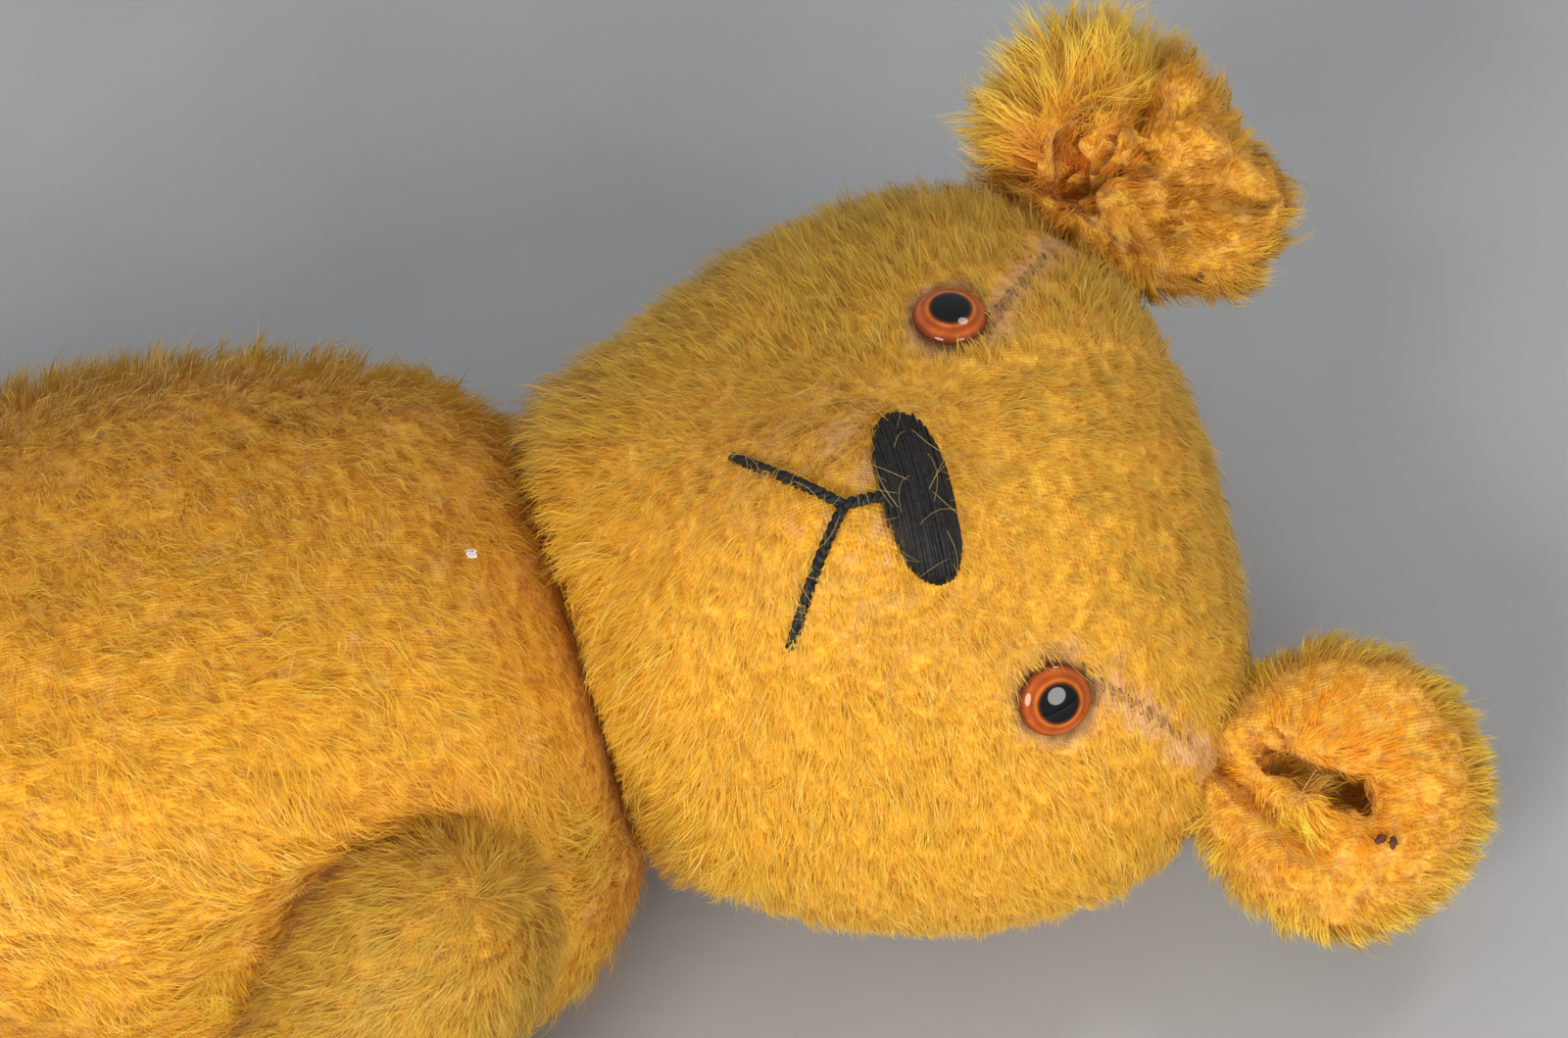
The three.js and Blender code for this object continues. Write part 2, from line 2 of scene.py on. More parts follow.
# %% [markdown]
# The bear is a set of stuffed cloth bags that turn on fibreboard discs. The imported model
# gives each bag its place and size, and this lesson gives the bags their pile, eyes, nose,
# mouth, seams and wear. We start by loading the model and keeping its box.
# %% Load the frame
import json

import bpy
import numpy as np
from mathutils import Matrix, Vector

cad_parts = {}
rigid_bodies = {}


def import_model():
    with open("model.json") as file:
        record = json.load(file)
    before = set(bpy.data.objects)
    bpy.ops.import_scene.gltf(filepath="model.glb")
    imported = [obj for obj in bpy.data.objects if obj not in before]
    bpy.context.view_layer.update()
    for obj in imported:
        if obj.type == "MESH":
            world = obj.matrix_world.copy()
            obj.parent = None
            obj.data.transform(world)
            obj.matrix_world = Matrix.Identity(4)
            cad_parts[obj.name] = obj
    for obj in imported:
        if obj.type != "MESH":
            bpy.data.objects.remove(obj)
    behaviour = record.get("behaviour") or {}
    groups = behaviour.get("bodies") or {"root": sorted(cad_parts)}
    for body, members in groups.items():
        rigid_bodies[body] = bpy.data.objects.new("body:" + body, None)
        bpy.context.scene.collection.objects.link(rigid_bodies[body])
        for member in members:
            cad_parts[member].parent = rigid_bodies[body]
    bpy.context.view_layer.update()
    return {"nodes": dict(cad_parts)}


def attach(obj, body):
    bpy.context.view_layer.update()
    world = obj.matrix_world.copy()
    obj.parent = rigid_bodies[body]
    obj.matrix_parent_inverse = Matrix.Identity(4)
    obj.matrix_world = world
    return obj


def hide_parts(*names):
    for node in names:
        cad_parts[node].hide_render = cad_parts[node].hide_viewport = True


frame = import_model()
MM = 0.001


# %% [markdown]
# Most steps need one clean object to work on. Operators act on everything that is
# selected, so each piece is made with nothing else selected, and its place is put into
# its mesh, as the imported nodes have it. Points are moved as whole arrays of numbers,
# because that is much faster than moving them one at a time.
# %% Small helpers for meshes
def only(obj):
    bpy.ops.object.select_all(action="DESELECT")
    obj.select_set(True)
    bpy.context.view_layer.objects.active = obj


def coordinates(obj):
    co = np.zeros(len(obj.data.vertices) * 3)
    obj.data.vertices.foreach_get("co", co)
    return co.reshape(-1, 3)


def set_coordinates(obj, co):
    obj.data.vertices.foreach_set("co", np.ascontiguousarray(co, float).ravel())
    obj.data.update()


def apply_modifiers(obj):
    only(obj)
    for modifier in list(obj.modifiers):
        bpy.ops.object.modifier_apply(modifier=modifier.name)


def sphere(name, segments, rings):
    bpy.ops.object.select_all(action="DESELECT")
    bpy.ops.mesh.primitive_uv_sphere_add(segments=segments, ring_count=rings, radius=1)
    obj = bpy.context.active_object
    obj.name = obj.data.name = name
    return obj


def remesh_evenly(obj, voxel):
    even = obj.modifiers.new("even", "REMESH")
    even.mode, even.voxel_size = "VOXEL", voxel


def ease(obj, rounds):
    smooth = obj.modifiers.new("ease", "SMOOTH")
    smooth.factor, smooth.iterations = 0.5, rounds


def smoothstep(low, high, value):
    """Zero below low, one above high, and a soft rise between them."""
    t = np.clip((value - low) / (high - low), 0, 1)
    return t * t * (3 - 2 * t)


def hump(distance, width):
    """One where the distance is zero, and fading out over the width on both sides."""
    return np.exp(-((distance / width) ** 2))


def unit(vectors):
    return vectors / np.maximum(np.linalg.norm(vectors, axis=-1, keepdims=True), 1e-9)


print("smoothstep half way up:", smoothstep(0, 10, 5), "hump at its width:", hump(5, 5).round(2))

# %% [markdown]
# The camera looks down at the lying bear from its left side, and leans, so that the body
# runs up to the right. It is a long lens, which keeps the head round.
# %% Camera
CAMERA_AT = Vector((0.1728, -0.4768, 0.6466))
CAMERA_AZIMUTH = np.radians(3.7)
CAMERA_ELEVATION = np.radians(49.6)
CAMERA_ROLL = np.radians(18.0)
FACE_AT = Vector((0.17, -0.03, 0.11))

camera_data = bpy.data.cameras.new("camera")
camera_data.lens = 89.1
camera_data.sensor_width = 36
camera = bpy.data.objects.new("camera", camera_data)
bpy.context.scene.collection.objects.link(camera)
back = Vector(
    (
        np.sin(CAMERA_AZIMUTH) * np.cos(CAMERA_ELEVATION),
        -np.cos(CAMERA_AZIMUTH) * np.cos(CAMERA_ELEVATION),
        np.sin(CAMERA_ELEVATION),
    )
)
level = Vector((0, 0, 1)).cross(back).normalized()
upright = back.cross(level)
right = level * np.cos(CAMERA_ROLL) - upright * np.sin(CAMERA_ROLL)
up = level * np.sin(CAMERA_ROLL) + upright * np.cos(CAMERA_ROLL)
camera.matrix_world = Matrix.Translation(CAMERA_AT) @ Matrix((right, up, back)).transposed().to_4x4()
bpy.context.scene.camera = camera
print("camera distance to the face: %.0f mm" % ((CAMERA_AT - FACE_AT).length / MM))

# %% [markdown]
# Each bag is a body of revolution that was pushed out of round by its stuffing. Its
# outline is a list of stations, radius and place along the axis, joined by a smooth
# curve. A sphere is added as a primitive, and its rings are moved along that outline in
# code, because a row of single edits could not follow the curve so closely.
# %% Outlines and the sphere that follows them
def outline(stations, flat_start=False):
    """A smooth curve through [radius, along] stations, and how far along it each point is."""
    points = np.array(stations, float)
    last = len(points) - 1
    places = np.linspace(0, last, 600)
    index = np.minimum(places.astype(int), last - 1)
    t = (places - index)[:, None]
    before, after = points[np.maximum(index - 1, 0)], points[np.minimum(index + 2, last)]
    start, end = points[index], points[index + 1]
    v0, v1 = (end - before) / 2, (after - start) / 2
    curve = ((2 * start - 2 * end + v0 + v1) * t + (3 * end - 3 * start - 2 * v0 - v1)) * t * t
    curve = curve + v0 * t + start
    if flat_start:
        curve = np.vstack([[0, points[0, 1]], curve])
    curve[:, 0] = np.maximum(curve[:, 0], 0)
    length = np.concatenate([[0], np.cumsum(np.linalg.norm(np.diff(curve, axis=0), axis=1))])
    return curve, length / length[-1]


def ball_on(name, curve, share, segments, rings):
    """A sphere whose rings follow the outline. Gives its radius, along and angle arrays."""
    obj = sphere(name, segments, rings)
    co = coordinates(obj)
    down = np.arccos(np.clip(co[:, 2], -1, 1)) / np.pi
    angle = np.arctan2(co[:, 1], co[:, 0])
    radius = np.interp(down, share, curve[:, 0])
    along = np.interp(down, share, curve[:, 1])
    return obj, radius, along, angle


def facing_out(obj):
    only(obj)
    bpy.ops.object.mode_set(mode="EDIT")
    bpy.ops.mesh.select_all(action="SELECT")
    bpy.ops.mesh.remove_doubles(threshold=0.00001)
    bpy.ops.mesh.normals_make_consistent(inside=False)
    bpy.ops.object.mode_set(mode="OBJECT")


print("a test outline is cut into", len(outline([[0, 0], [5, 5], [0, 10]])[0]), "short steps")

# %% [markdown]
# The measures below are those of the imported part: where each joint is, how wide each bag
# is along its axis, and how the face stands out.
# %% Measures, in millimetres
NECK_X, NECK_Z, HEAD_TURN = 100.0, 60.0, np.radians(30)
SHOULDER = dict(x=62, y=54, z=75, flat=16.5, slope=0.45, end=160)
RIGHT_SHOULDER = SHOULDER | dict(z=52)  # this shoulder has sunk towards the back
HIP = dict(x=-60, y=54, z=60, flat=21.5, slope=0.4, end=60)
ARM_ANGLE, RIGHT_ARM_ANGLE, LEG_ANGLE = np.radians(-50), np.radians(-30), np.radians(-14)
TORSO_WIDTHS = [
    [33, 99.85], [40, 96], [50, 87.5], [58, 76], [63.5, 60], [68.5, 38], [71.5, 15],
    [72, -5], [71, -30], [67.5, -52], [61, -74], [48, -92], [28, -103], [0, -108],
]
HEAD_WIDTHS = [
    [33, 0.15], [40, 3.5], [48, 11], [54, 20], [61, 32], [66.5, 48], [69, 64],
    [68, 82], [63, 96], [54, 107], [38, 116], [20, 120], [0, 121],
]
ARM_WIDTHS = [
    [0, -22.5], [11.5, -20], [19, -12], [22, 0], [23, 20], [23, 45], [21.5, 68], [20, 86],
    [17.5, 101], [11, 111], [0, 114],
]
LEG_WIDTHS = [
    [0, -29], [15, -26], [26, -15], [30, 0], [30, 30], [28.5, 60], [25.5, 92], [23.5, 120],
    [22, 138], [14, 148], [0, 152],
]
FOOT = dict(along=134, forward=13, length=43, depth=26, width=22, sole=151)
FOOT_AXIS = 23 + HIP["slope"] * (HIP["end"] - HIP["flat"])  # how far out the foot's middle is
FLOOR_GAP = 0.9  # the pile that is crushed under the bear
torso_long = TORSO_WIDTHS[0][1] - TORSO_WIDTHS[-1][1]
head_wide = 2 * max(width for width, _ in HEAD_WIDTHS)
print("torso %.0f mm long, head %.0f mm wide" % (torso_long, head_wide))


def growth(a, b, power):
    """How much further a squared-off ring reaches than a round one, in this direction."""
    reach = np.hypot(a, b)
    spread = (np.abs(a) ** power + np.abs(b) ** power) ** (1 / power)
    return np.where(reach < 1e-6, 1, reach / np.maximum(spread, 1e-9))


def cone(joint, reach):
    """How far a joint's face has risen at this distance from its pin."""
    return joint["slope"] * np.clip(reach - joint["flat"], 0, joint["end"] - joint["flat"])


# %% [markdown]
# The torso is a stout barrel, a little squared. Its back is pressed flat where it lies,
# and at each limb the cloth is pulled in by the joint to a shallow dish. Every bag keeps
# its own trim, a function that holds points on its side of the joints and off the table.
# %% Torso bag
TORSO_JOINTS = ((SHOULDER, -1), (RIGHT_SHOULDER, 1), (HIP, -1), (HIP, 1))


def trim_torso(co, pile=0.0):
    out = co.copy()
    for joint, side_ in TORSO_JOINTS:
        reach = np.hypot(out[:, 0] - joint["x"], out[:, 2] - joint["z"])
        rise = joint["slope"] * np.clip(reach - joint["flat"], 0, None)
        limit = joint["y"] - 0.2 + rise + pile * smoothstep(joint["flat"], joint["flat"] + 9, reach)
        out[:, 1] = side_ * np.minimum(side_ * out[:, 1], limit)
    out[:, 2] = np.maximum(out[:, 2], FLOOR_GAP - 0.3 * pile)
    out[:, 0] = np.minimum(out[:, 0], NECK_X - 0.15 + pile)
    return out


curve, share = outline(TORSO_WIDTHS, flat_start=True)
torso, radius, along, angle = ball_on("torso_mohair", curve, share, 112, 80)
y = radius * np.cos(angle)
z = radius * np.sin(angle) * np.where(np.sin(angle) > 0, 0.91, 1.0)  # the chest is flatter
squarer = growth(y, z, 2.5)
axis = NECK_Z + 5 * (1 - smoothstep(20, 100, along))  # the belly stands a little higher
torso_shape = np.stack([along, y * squarer, axis + z * squarer], 1)
set_coordinates(torso, trim_torso(torso_shape) * MM)
facing_out(torso)
print("torso box, mm:", np.ptp(coordinates(torso), axis=0).round(4) / MM)

# %% [markdown]
# The head is shaped in its own frame: up towards the crown, side towards the bear's
# right, front towards the nose. It is then turned on the neck pin to the bear's left.
# The muzzle is a soft swelling of the same bag, so the face is one smooth surface whose
# height is known at every place, which later puts the eyes, nose and mouth on it.
# %% Head bag and the face's height
head_curve, head_share = outline(HEAD_WIDTHS, flat_start=True)


def head_width(up_):
    return np.interp(up_, head_curve[1:, 1], head_curve[1:, 0])


def head_depth(up_):
    return 0.97 - 0.21 * smoothstep(0, 45, up_)


def muzzle(up_, side):
    reach = np.where(up_ > 50, 25.0, 30.0)
    return 29 * np.exp(-((side / 27) ** 2) - ((up_ - 50) / reach) ** 2)


def face_height(up_, side):
    width = head_width(up_)
    rounded = np.sqrt(np.maximum(0, 1 - (side / width) ** 2))
    return width * head_depth(up_) * rounded + muzzle(up_, side)


def face_point(up_, side, lift=0.0):
    """A place on the face, lifted off the cloth, and the direction that it faces."""
    step = 0.5
    du = (face_height(up_ + step, side) - face_height(up_ - step, side)) / (2 * step)
    ds = (face_height(up_, side + step) - face_height(up_, side - step)) / (2 * step)
    normal = unit(np.stack(np.broadcast_arrays(-du, -ds, 1.0), -1))
    place = np.stack(np.broadcast_arrays(up_, side, face_height(up_, side)), -1)
    return place + np.asarray(lift)[..., None] * normal, normal


def head_to_world(p, point=True):
    c, s = np.cos(HEAD_TURN), np.sin(HEAD_TURN)
    out = np.stack([p[..., 0], p[..., 1] * c - p[..., 2] * s, p[..., 1] * s + p[..., 2] * c], -1)
    return out + np.array([NECK_X, 0, NECK_Z]) if point else out


def world_to_head(w, point=True):
    c, s = np.cos(HEAD_TURN), np.sin(HEAD_TURN)
    q = w - np.array([NECK_X, 0, NECK_Z]) if point else w
    return np.stack([q[..., 0], q[..., 1] * c + q[..., 2] * s, -q[..., 1] * s + q[..., 2] * c], -1)


def cheek_drop(side_, from_neck):
    """How far the bear's right cheek has sagged over the shoulder."""
    return 11 * smoothstep(34, 50, from_neck) * smoothstep(0, 32, side_)


def trim_head(co, pile=0.0):
    out = co.copy()
    from_neck = np.hypot(out[:, 1], out[:, 2] - NECK_Z)
    over = cheek_drop(world_to_head(out)[:, 1], from_neck) + pile * smoothstep(36, 52, from_neck)
    out[:, 0] = np.maximum(out[:, 0], NECK_X + 0.15 - over)
    out[:, 2] = np.maximum(out[:, 2], 1.2 - 0.4 * pile)
    return out


head, radius, along, angle = ball_on("head_mohair", head_curve, head_share, 120, 96)
side, front = radius * np.sin(angle), radius * np.cos(angle)
height = front * head_depth(along) + smoothstep(0, 12, front) * muzzle(along, side)
fuller = 1 + 0.022 * (1 - smoothstep(22, 40, height))  # round the cheeks, not on the face
along, side = along * (0.5 + 0.5 * fuller), side * fuller
along = along - cheek_drop(side, np.hypot(side, height)) * (1 - smoothstep(0, 34, along))
set_coordinates(head, trim_head(head_to_world(np.stack([along, side, height], 1))) * MM)
facing_out(head)
print("head box, mm:", np.ptp(coordinates(head), axis=0).round(4) / MM)

# %% [markdown]
# Arms and legs lie along their own axis from the joint, and are turned about the joint
# pin. The foot is a second ball that is fused to the shin by a voxel remesh, as the
# foot's cloth runs into the leg without a step. The left limbs mirror the right ones.
# %% Arm and leg bags
def limb_to_world(p, joint, side_, turn, point=True):
    c, s = np.cos(turn), np.sin(turn)
    x, z_ = p[..., 0] * c + p[..., 2] * s, -p[..., 0] * s + p[..., 2] * c
    if not point:
        return np.stack([x, side_ * p[..., 1], z_], -1)
    return np.stack([x + joint["x"], side_ * (p[..., 1] + joint["y"]), z_ + joint["z"]], -1)


def world_to_limb(w, joint, side_, turn):
    c, s = np.cos(turn), np.sin(turn)
    x, z_ = w[..., 0] - joint["x"], w[..., 2] - joint["z"]
    return np.stack([x * c - z_ * s, side_ * w[..., 1] - joint["y"], x * s + z_ * c], -1)


def limb_trim(joint, side_, turn, sole=None):
    def trim(co, pile=0.0):
        p = world_to_limb(co, joint, side_, turn)
        reach = np.hypot(p[:, 0], p[:, 2])
        allowed = pile * smoothstep(joint["flat"], joint["flat"] + 9, reach)
        p[:, 1] = np.maximum(p[:, 1], 0.2 - allowed + cone(joint, reach))
        if sole is not None:
            p[:, 0] = np.maximum(p[:, 0], -sole - 0.5 * pile)
        out = limb_to_world(p, joint, side_, turn)
        out[:, 2] = np.maximum(out[:, 2], FLOOR_GAP - 0.3 * pile)
        return out

    return trim


def arm_bag(name, side_, joint, turn):
    curve_, share_ = outline(ARM_WIDTHS)
    obj, r, a, t = ball_on(name, curve_, share_, 64, 64)
    y_, z_ = r * np.cos(t), r * np.sin(t)
    y_ = y_ * np.where(y_ > 0, 1.12, 0.86) + 10.5 + 0.45 * np.maximum(0, a - 16.5)
    z_ = z_ + np.where(a > 0, 20 * (a / 95) ** 2, 0)
    trim = limb_trim(joint, side_, turn)
    set_coordinates(obj, trim(limb_to_world(np.stack([-a, y_, z_], 1), joint, side_, turn)) * MM)
    facing_out(obj)
    return obj, trim


def leg_bag(name, side_):
    curve_, share_ = outline(LEG_WIDTHS)
    shin, r, a, t = ball_on(name, curve_, share_, 64, 72)
    y_, z_ = r * np.cos(t), r * np.sin(t)
    y_ = y_ * np.where(y_ > 0, 0.93, 0.8) + 14.5 + (FOOT_AXIS - 14.5) * smoothstep(0, 90, a)
    set_coordinates(shin, limb_to_world(np.stack([-a, y_, z_], 1), HIP, side_, LEG_ANGLE) * MM)
    foot = sphere("foot", 48, 32)
    size = np.array([FOOT["depth"], FOOT["width"], FOOT["length"]])
    p = coordinates(foot) * size + np.array([-FOOT["along"], FOOT_AXIS, FOOT["forward"]])
    set_coordinates(foot, limb_to_world(p, HIP, side_, LEG_ANGLE) * MM)
    bpy.ops.object.select_all(action="DESELECT")
    foot.select_set(True)
    shin.select_set(True)
    bpy.context.view_layer.objects.active = shin
    bpy.ops.object.join()
    facing_out(shin)
    remesh_evenly(shin, 0.0026)
    ease(shin, 8)
    apply_modifiers(shin)
    trim = limb_trim(HIP, side_, LEG_ANGLE, FOOT["sole"])
    set_coordinates(shin, trim(coordinates(shin) / MM) * MM)
    return shin, trim


arm_left, trim_arm_left = arm_bag("arm_left_mohair", -1, SHOULDER, ARM_ANGLE)
arm_right, trim_arm_right = arm_bag("arm_right_mohair", 1, RIGHT_SHOULDER, RIGHT_ARM_ANGLE)
leg_left, trim_leg_left = leg_bag("leg_left_mohair", -1)
leg_right, trim_leg_right = leg_bag("leg_right_mohair", 1)
print("leg faces:", len(leg_left.data.polygons))

# %% [markdown]
# Packed wood wool swells its bag between the seams. The bag is remeshed evenly, blown up
# a little by a cloth simulation with inner pressure and no gravity, held to a few
# millimetres of movement, trimmed again at the joints and the table, and subdivided once.
# The swelling could be sculpted by hand, but pressure finds the right places by itself.
# %% Stuffing the bags
PRESSURE, LAST_FRAME = 4.0, 20


def stuff(obj, trim, voxel, most):
    """Voxel is the remesh's step in metres, most is the longest move in millimetres."""
    remesh_evenly(obj, voxel)
    apply_modifiers(obj)
    rest = coordinates(obj)
    cloth = obj.modifiers.new("cloth", "CLOTH")
    cloth.settings.use_pressure = True
    cloth.settings.uniform_pressure_force = PRESSURE
    cloth.settings.effector_weights.gravity = 0
    cloth.point_cache.frame_start, cloth.point_cache.frame_end = 1, LAST_FRAME
    for step in range(1, LAST_FRAME + 1):
        bpy.context.scene.frame_set(step)
    posed = obj.evaluated_get(bpy.context.evaluated_depsgraph_get())
    moved = np.zeros(len(rest) * 3)
    posed.data.vertices.foreach_get("co", moved)
    move = moved.reshape(-1, 3) - rest
    size = np.linalg.norm(move, axis=1, keepdims=True)
    move *= np.minimum(1, most * MM / np.maximum(size, 1e-9))
    obj.modifiers.remove(cloth)
    bpy.context.scene.frame_set(1)
    set_coordinates(obj, rest + move)
    print(obj.name, "swelled by up to %.1f mm" % (np.linalg.norm(move, axis=1).max() / MM))
    ease(obj, 4)
    apply_modifiers(obj)
    set_coordinates(obj, trim(coordinates(obj) / MM) * MM)
    fine = obj.modifiers.new("fine", "SUBSURF")
    fine.levels = fine.render_levels = 1
    apply_modifiers(obj)
    bpy.ops.object.shade_smooth()


stuff(torso, trim_torso, 0.005, 1.5)
stuff(head, trim_head, 0.004, 0.8)
for bag, trim_bag in (
    (arm_left, trim_arm_left),
    (arm_right, trim_arm_right),
    (leg_left, trim_leg_left),
    (leg_right, trim_leg_right),
):
    stuff(bag, trim_bag, 0.005, 1.0)
print("torso faces:", len(torso.data.polygons), "head faces:", len(head.data.polygons))


# %% [markdown]
# Wear and dirt follow slow, soft patches. A noise texture could paint them, but the pile
# and the folds need them as numbers too. This small helper adds up a few seeded waves
# that run in random directions, which gives the same soft patches on every run.
# %% Soft patches
def patches(co, size, seed, waves=9):
    rng = np.random.default_rng(seed)
    way = unit(rng.normal(size=(waves, 3)))
    pace = 2 * np.pi / (size * rng.uniform(0.7, 1.6, waves))
    start = rng.uniform(0, 2 * np.pi, waves)
    return np.sin(co @ (way * pace[:, None]).T + start).sum(1) / np.sqrt(waves)


print("patches at three places:", patches(np.diag([10.0, 20.0, 30.0]), 20, 1).round(2))

# %% [markdown]
# The ears are two round pieces of cloth, sewn round the edge and cupped. The left ear's
# rim has rolled inwards until only a narrow hollow is left. The right ear has lost its
# shape: it is folded over, twisted and crumpled. Sculpting would do this too, but folds
# written as humps across lines can be moved one at a time, and come out the same each run.
# %% Ears
LEFT_EAR = dict(up=129, side=62, back=-6, lean=0.62, across=1.0, along=1.04)
RIGHT_EAR = dict(up=125, side=66, back=-5, lean=1.12, across=1.04, along=1.0)
EAR_PROFILE = [
    [0, 7.4], [5, 7.8], [8.8, 9.6], [11.2, 12.6], [12.2, 15.4], [12.8, 17.8], [14.4, 20.2],
    [17.2, 21.5], [20.4, 21.0], [23.6, 18.6], [25.8, 14.2], [26.2, 8.8], [23.5, 2.6],
    [18, -1.8], [9, -4.2], [0, -4.8],
]


def ear_bag(name, ear, side_):
    """The ear is shaped flat, cup upwards: x is outwards from the head, y across, h forwards."""
    curve_, share_ = outline(EAR_PROFILE)
    obj, r, h, t = ball_on(name, curve_, share_, 88, 72)
    x_, y_ = r * np.cos(t), r * np.sin(t)
    seed = 5 if side_ < 0 else 11
    bump_ = patches(np.stack([x_, y_, h], 1), 16, seed)
    small = patches(np.stack([x_, y_, h], 1), 7, seed + 1)
    rim_ = smoothstep(10, 25, r)
    h = h + rim_ * (1.2 * bump_ + 0.3 * small)
    y_ = y_ + 0.5 * rim_ * small
    if side_ < 0:
        # the sides of the rim lean together over the hollow, one sags and one is creased
        lean_in = smoothstep(6, 20, h) * (1 - smoothstep(14, 24, r))
        y_ = y_ * (1 - 0.62 * lean_in) - 0.5 * lean_in + 1.3 * lean_in * small + 0.15 * x_ * lean_in
        x_ = x_ * (1 - 0.12 * lean_in) - 3.0 * lean_in + 0.8 * lean_in * bump_
        h = h + 2.0 * smoothstep(0, 24, x_)
        out_, down_ = 0.81 * x_ - 0.58 * y_, 0.58 * x_ + 0.81 * y_
        sag = lean_in * (1 - smoothstep(-9, 1, down_)) * hump(out_ - 1, 8)
        x_, y_ = x_ + 2.6 * sag, y_ + 3.7 * sag
        crease = hump(y_ - 12 - 0.35 * x_, 2.6) * (1 - smoothstep(-4, 8, x_)) * smoothstep(8, 16, r)
        h = h - 8.0 * crease
    else:
        # the cup is crushed, and a deep crease parts a raised lobe from a sagging one
        middle_ = 1 - smoothstep(11, 24, r)
        h = h * 0.72 + (h > -2) * middle_ * (2.5 + 2.0 * small)
        y_ = y_ * (1 - 0.52 * middle_) + (9 + 2.2 * small) * middle_
        x_ = x_ * (1 - 0.15 * middle_) + (1.8 * bump_ - 4) * middle_
        line = y_ + 3 - 0.2 * x_
        crease = hump(line, 3.6) * smoothstep(-24, -6, x_)
        second = hump(x_ + 7 + 0.3 * y_, 3.2) * smoothstep(-4, 6, y_)
        third = hump(line + 13 + 0.3 * x_, 3.0) * smoothstep(-20, 0, x_)
        front_lobe, back_lobe = smoothstep(0, 14, line), smoothstep(0, 22, -line)
        h = h - 15 * crease * rim_ - 5 * second - 5 * third * rim_ + 5 * front_lobe - 2 * back_lobe
        h = h + rim_ * (2.0 * bump_ + 0.7 * small)
        x_ = x_ * 0.94 + 2 * front_lobe * rim_ - 11 * back_lobe
        y_ = y_ + 1.5 * crease * np.sign(line) * rim_
    y_ = y_ * ear["across"] * (1 - 0.2 * smoothstep(4, 26, -x_))
    x_ = x_ * ear["along"]
    c, s = np.cos(ear["lean"]), np.sin(ear["lean"])
    up_, out_ = x_ * c - y_ * s, x_ * s + y_ * c
    if side_ > 0:
        up_ = up_ + 4.5 * back_lobe
        # two short deep folds in the crushed hollow, with a rolled edge between them
        top_ = smoothstep(-2, 3, h)
        fold_a = hump(up_ - 2.6 - 0.08 * out_, 2.0) * smoothstep(-5, 0, out_)
        fold_a = fold_a * (1 - smoothstep(7, 12, out_))
        fold_b = hump(up_ - 11 - 0.5 * out_, 2.0) * smoothstep(-18, -13, out_)
        fold_b = fold_b * (1 - smoothstep(-8, -4, out_))
        roll = hump(up_ - 7.0 - 0.6 * out_, 2.2) * smoothstep(-18, -12, out_)
        roll = roll * (1 - smoothstep(0, 6, out_))
        h = h + top_ * (2.5 * roll - 7 * fold_a - 6 * fold_b)
    place = [ear["up"] + up_, side_ * (ear["side"] + out_), ear["back"] + h]
    w = head_to_world(np.stack(place, 1))
    w[:, 2] = np.maximum(w[:, 2], 1.2)
    set_coordinates(obj, w * MM)
    facing_out(obj)
    ease(obj, 3 if side_ < 0 else 1)
    apply_modifiers(obj)
    bpy.ops.object.shade_smooth()
    return obj


ear_left = ear_bag("ear_left_mohair", LEFT_EAR, -1)
ear_right = ear_bag("ear_right_mohair", RIGHT_EAR, 1)
print("ear faces:", len(ear_left.data.polygons))


# %% [markdown]
# Materials are built from nodes. They could be wired by hand in the shader editor, but
# every finish needs the same few nodes. One helper starts a material and hands back its
# shader, so each finish below is only the nodes that make it what it is.
# %% Material helpers
def finish_of(name, colour, roughness, metallic=0.0, specular=0.5, sheen=0.0):
    material = bpy.data.materials.new(name)
    material.use_nodes = True
    shader = material.node_tree.nodes["Principled BSDF"]
    shader.inputs["Base Color"].default_value = (*colour, 1)
    shader.inputs["Roughness"].default_value = roughness
    shader.inputs["Metallic"].default_value = metallic
    shader.inputs["Specular IOR Level"].default_value = specular
    shader.inputs["Sheen Weight"].default_value = sheen
    return material, material.node_tree, shader


def node(tree, kind, **values):
    made = tree.nodes.new(kind)
    for key, value in values.items():
        if key in made.inputs:
            made.inputs[key].default_value = value
        else:
            setattr(made, key, value)
    return made


def coords(tree):
    return node(tree, "ShaderNodeTexCoord").outputs["Object"]


def noise_on(tree, scale, detail=4.0, roughness=0.55):
    made = node(tree, "ShaderNodeTexNoise")
    made.inputs["Scale"].default_value = scale
    made.inputs["Detail"].default_value = detail
    made.inputs["Roughness"].default_value = roughness
    tree.links.new(coords(tree), made.inputs["Vector"])
    return made.outputs["Fac"]


def ramp(tree, factor, stops):
    made = node(tree, "ShaderNodeValToRGB")
    while len(made.color_ramp.elements) < len(stops):
        made.color_ramp.elements.new(0.5)
    for element, (place, colour) in zip(made.color_ramp.elements, stops):
        element.position = place
        element.color = (*colour, 1)
    tree.links.new(factor, made.inputs["Fac"])
    return made.outputs["Color"]


def mottle(tree, shader, scale, detail, roughness, stops):
    """Colours the shader by a noise, from a ramp of places and colours."""
    tree.links.new(ramp(tree, noise_on(tree, scale, detail, roughness), stops), shader.inputs["Base Color"])


def mix(tree, factor, a, b, kind="MIX"):
    made = node(tree, "ShaderNodeMix", data_type="RGBA", blend_type=kind)
    for socket, value in ((made.inputs[0], factor), (made.inputs[6], a), (made.inputs[7], b)):
        if isinstance(value, (int, float)):
            socket.default_value = value
        elif isinstance(value, tuple):
            socket.default_value = (*value, 1)
        else:
            tree.links.new(value, socket)
    return made.outputs[2]


def attribute(tree, name):
    return node(tree, "ShaderNodeAttribute", attribute_name=name)


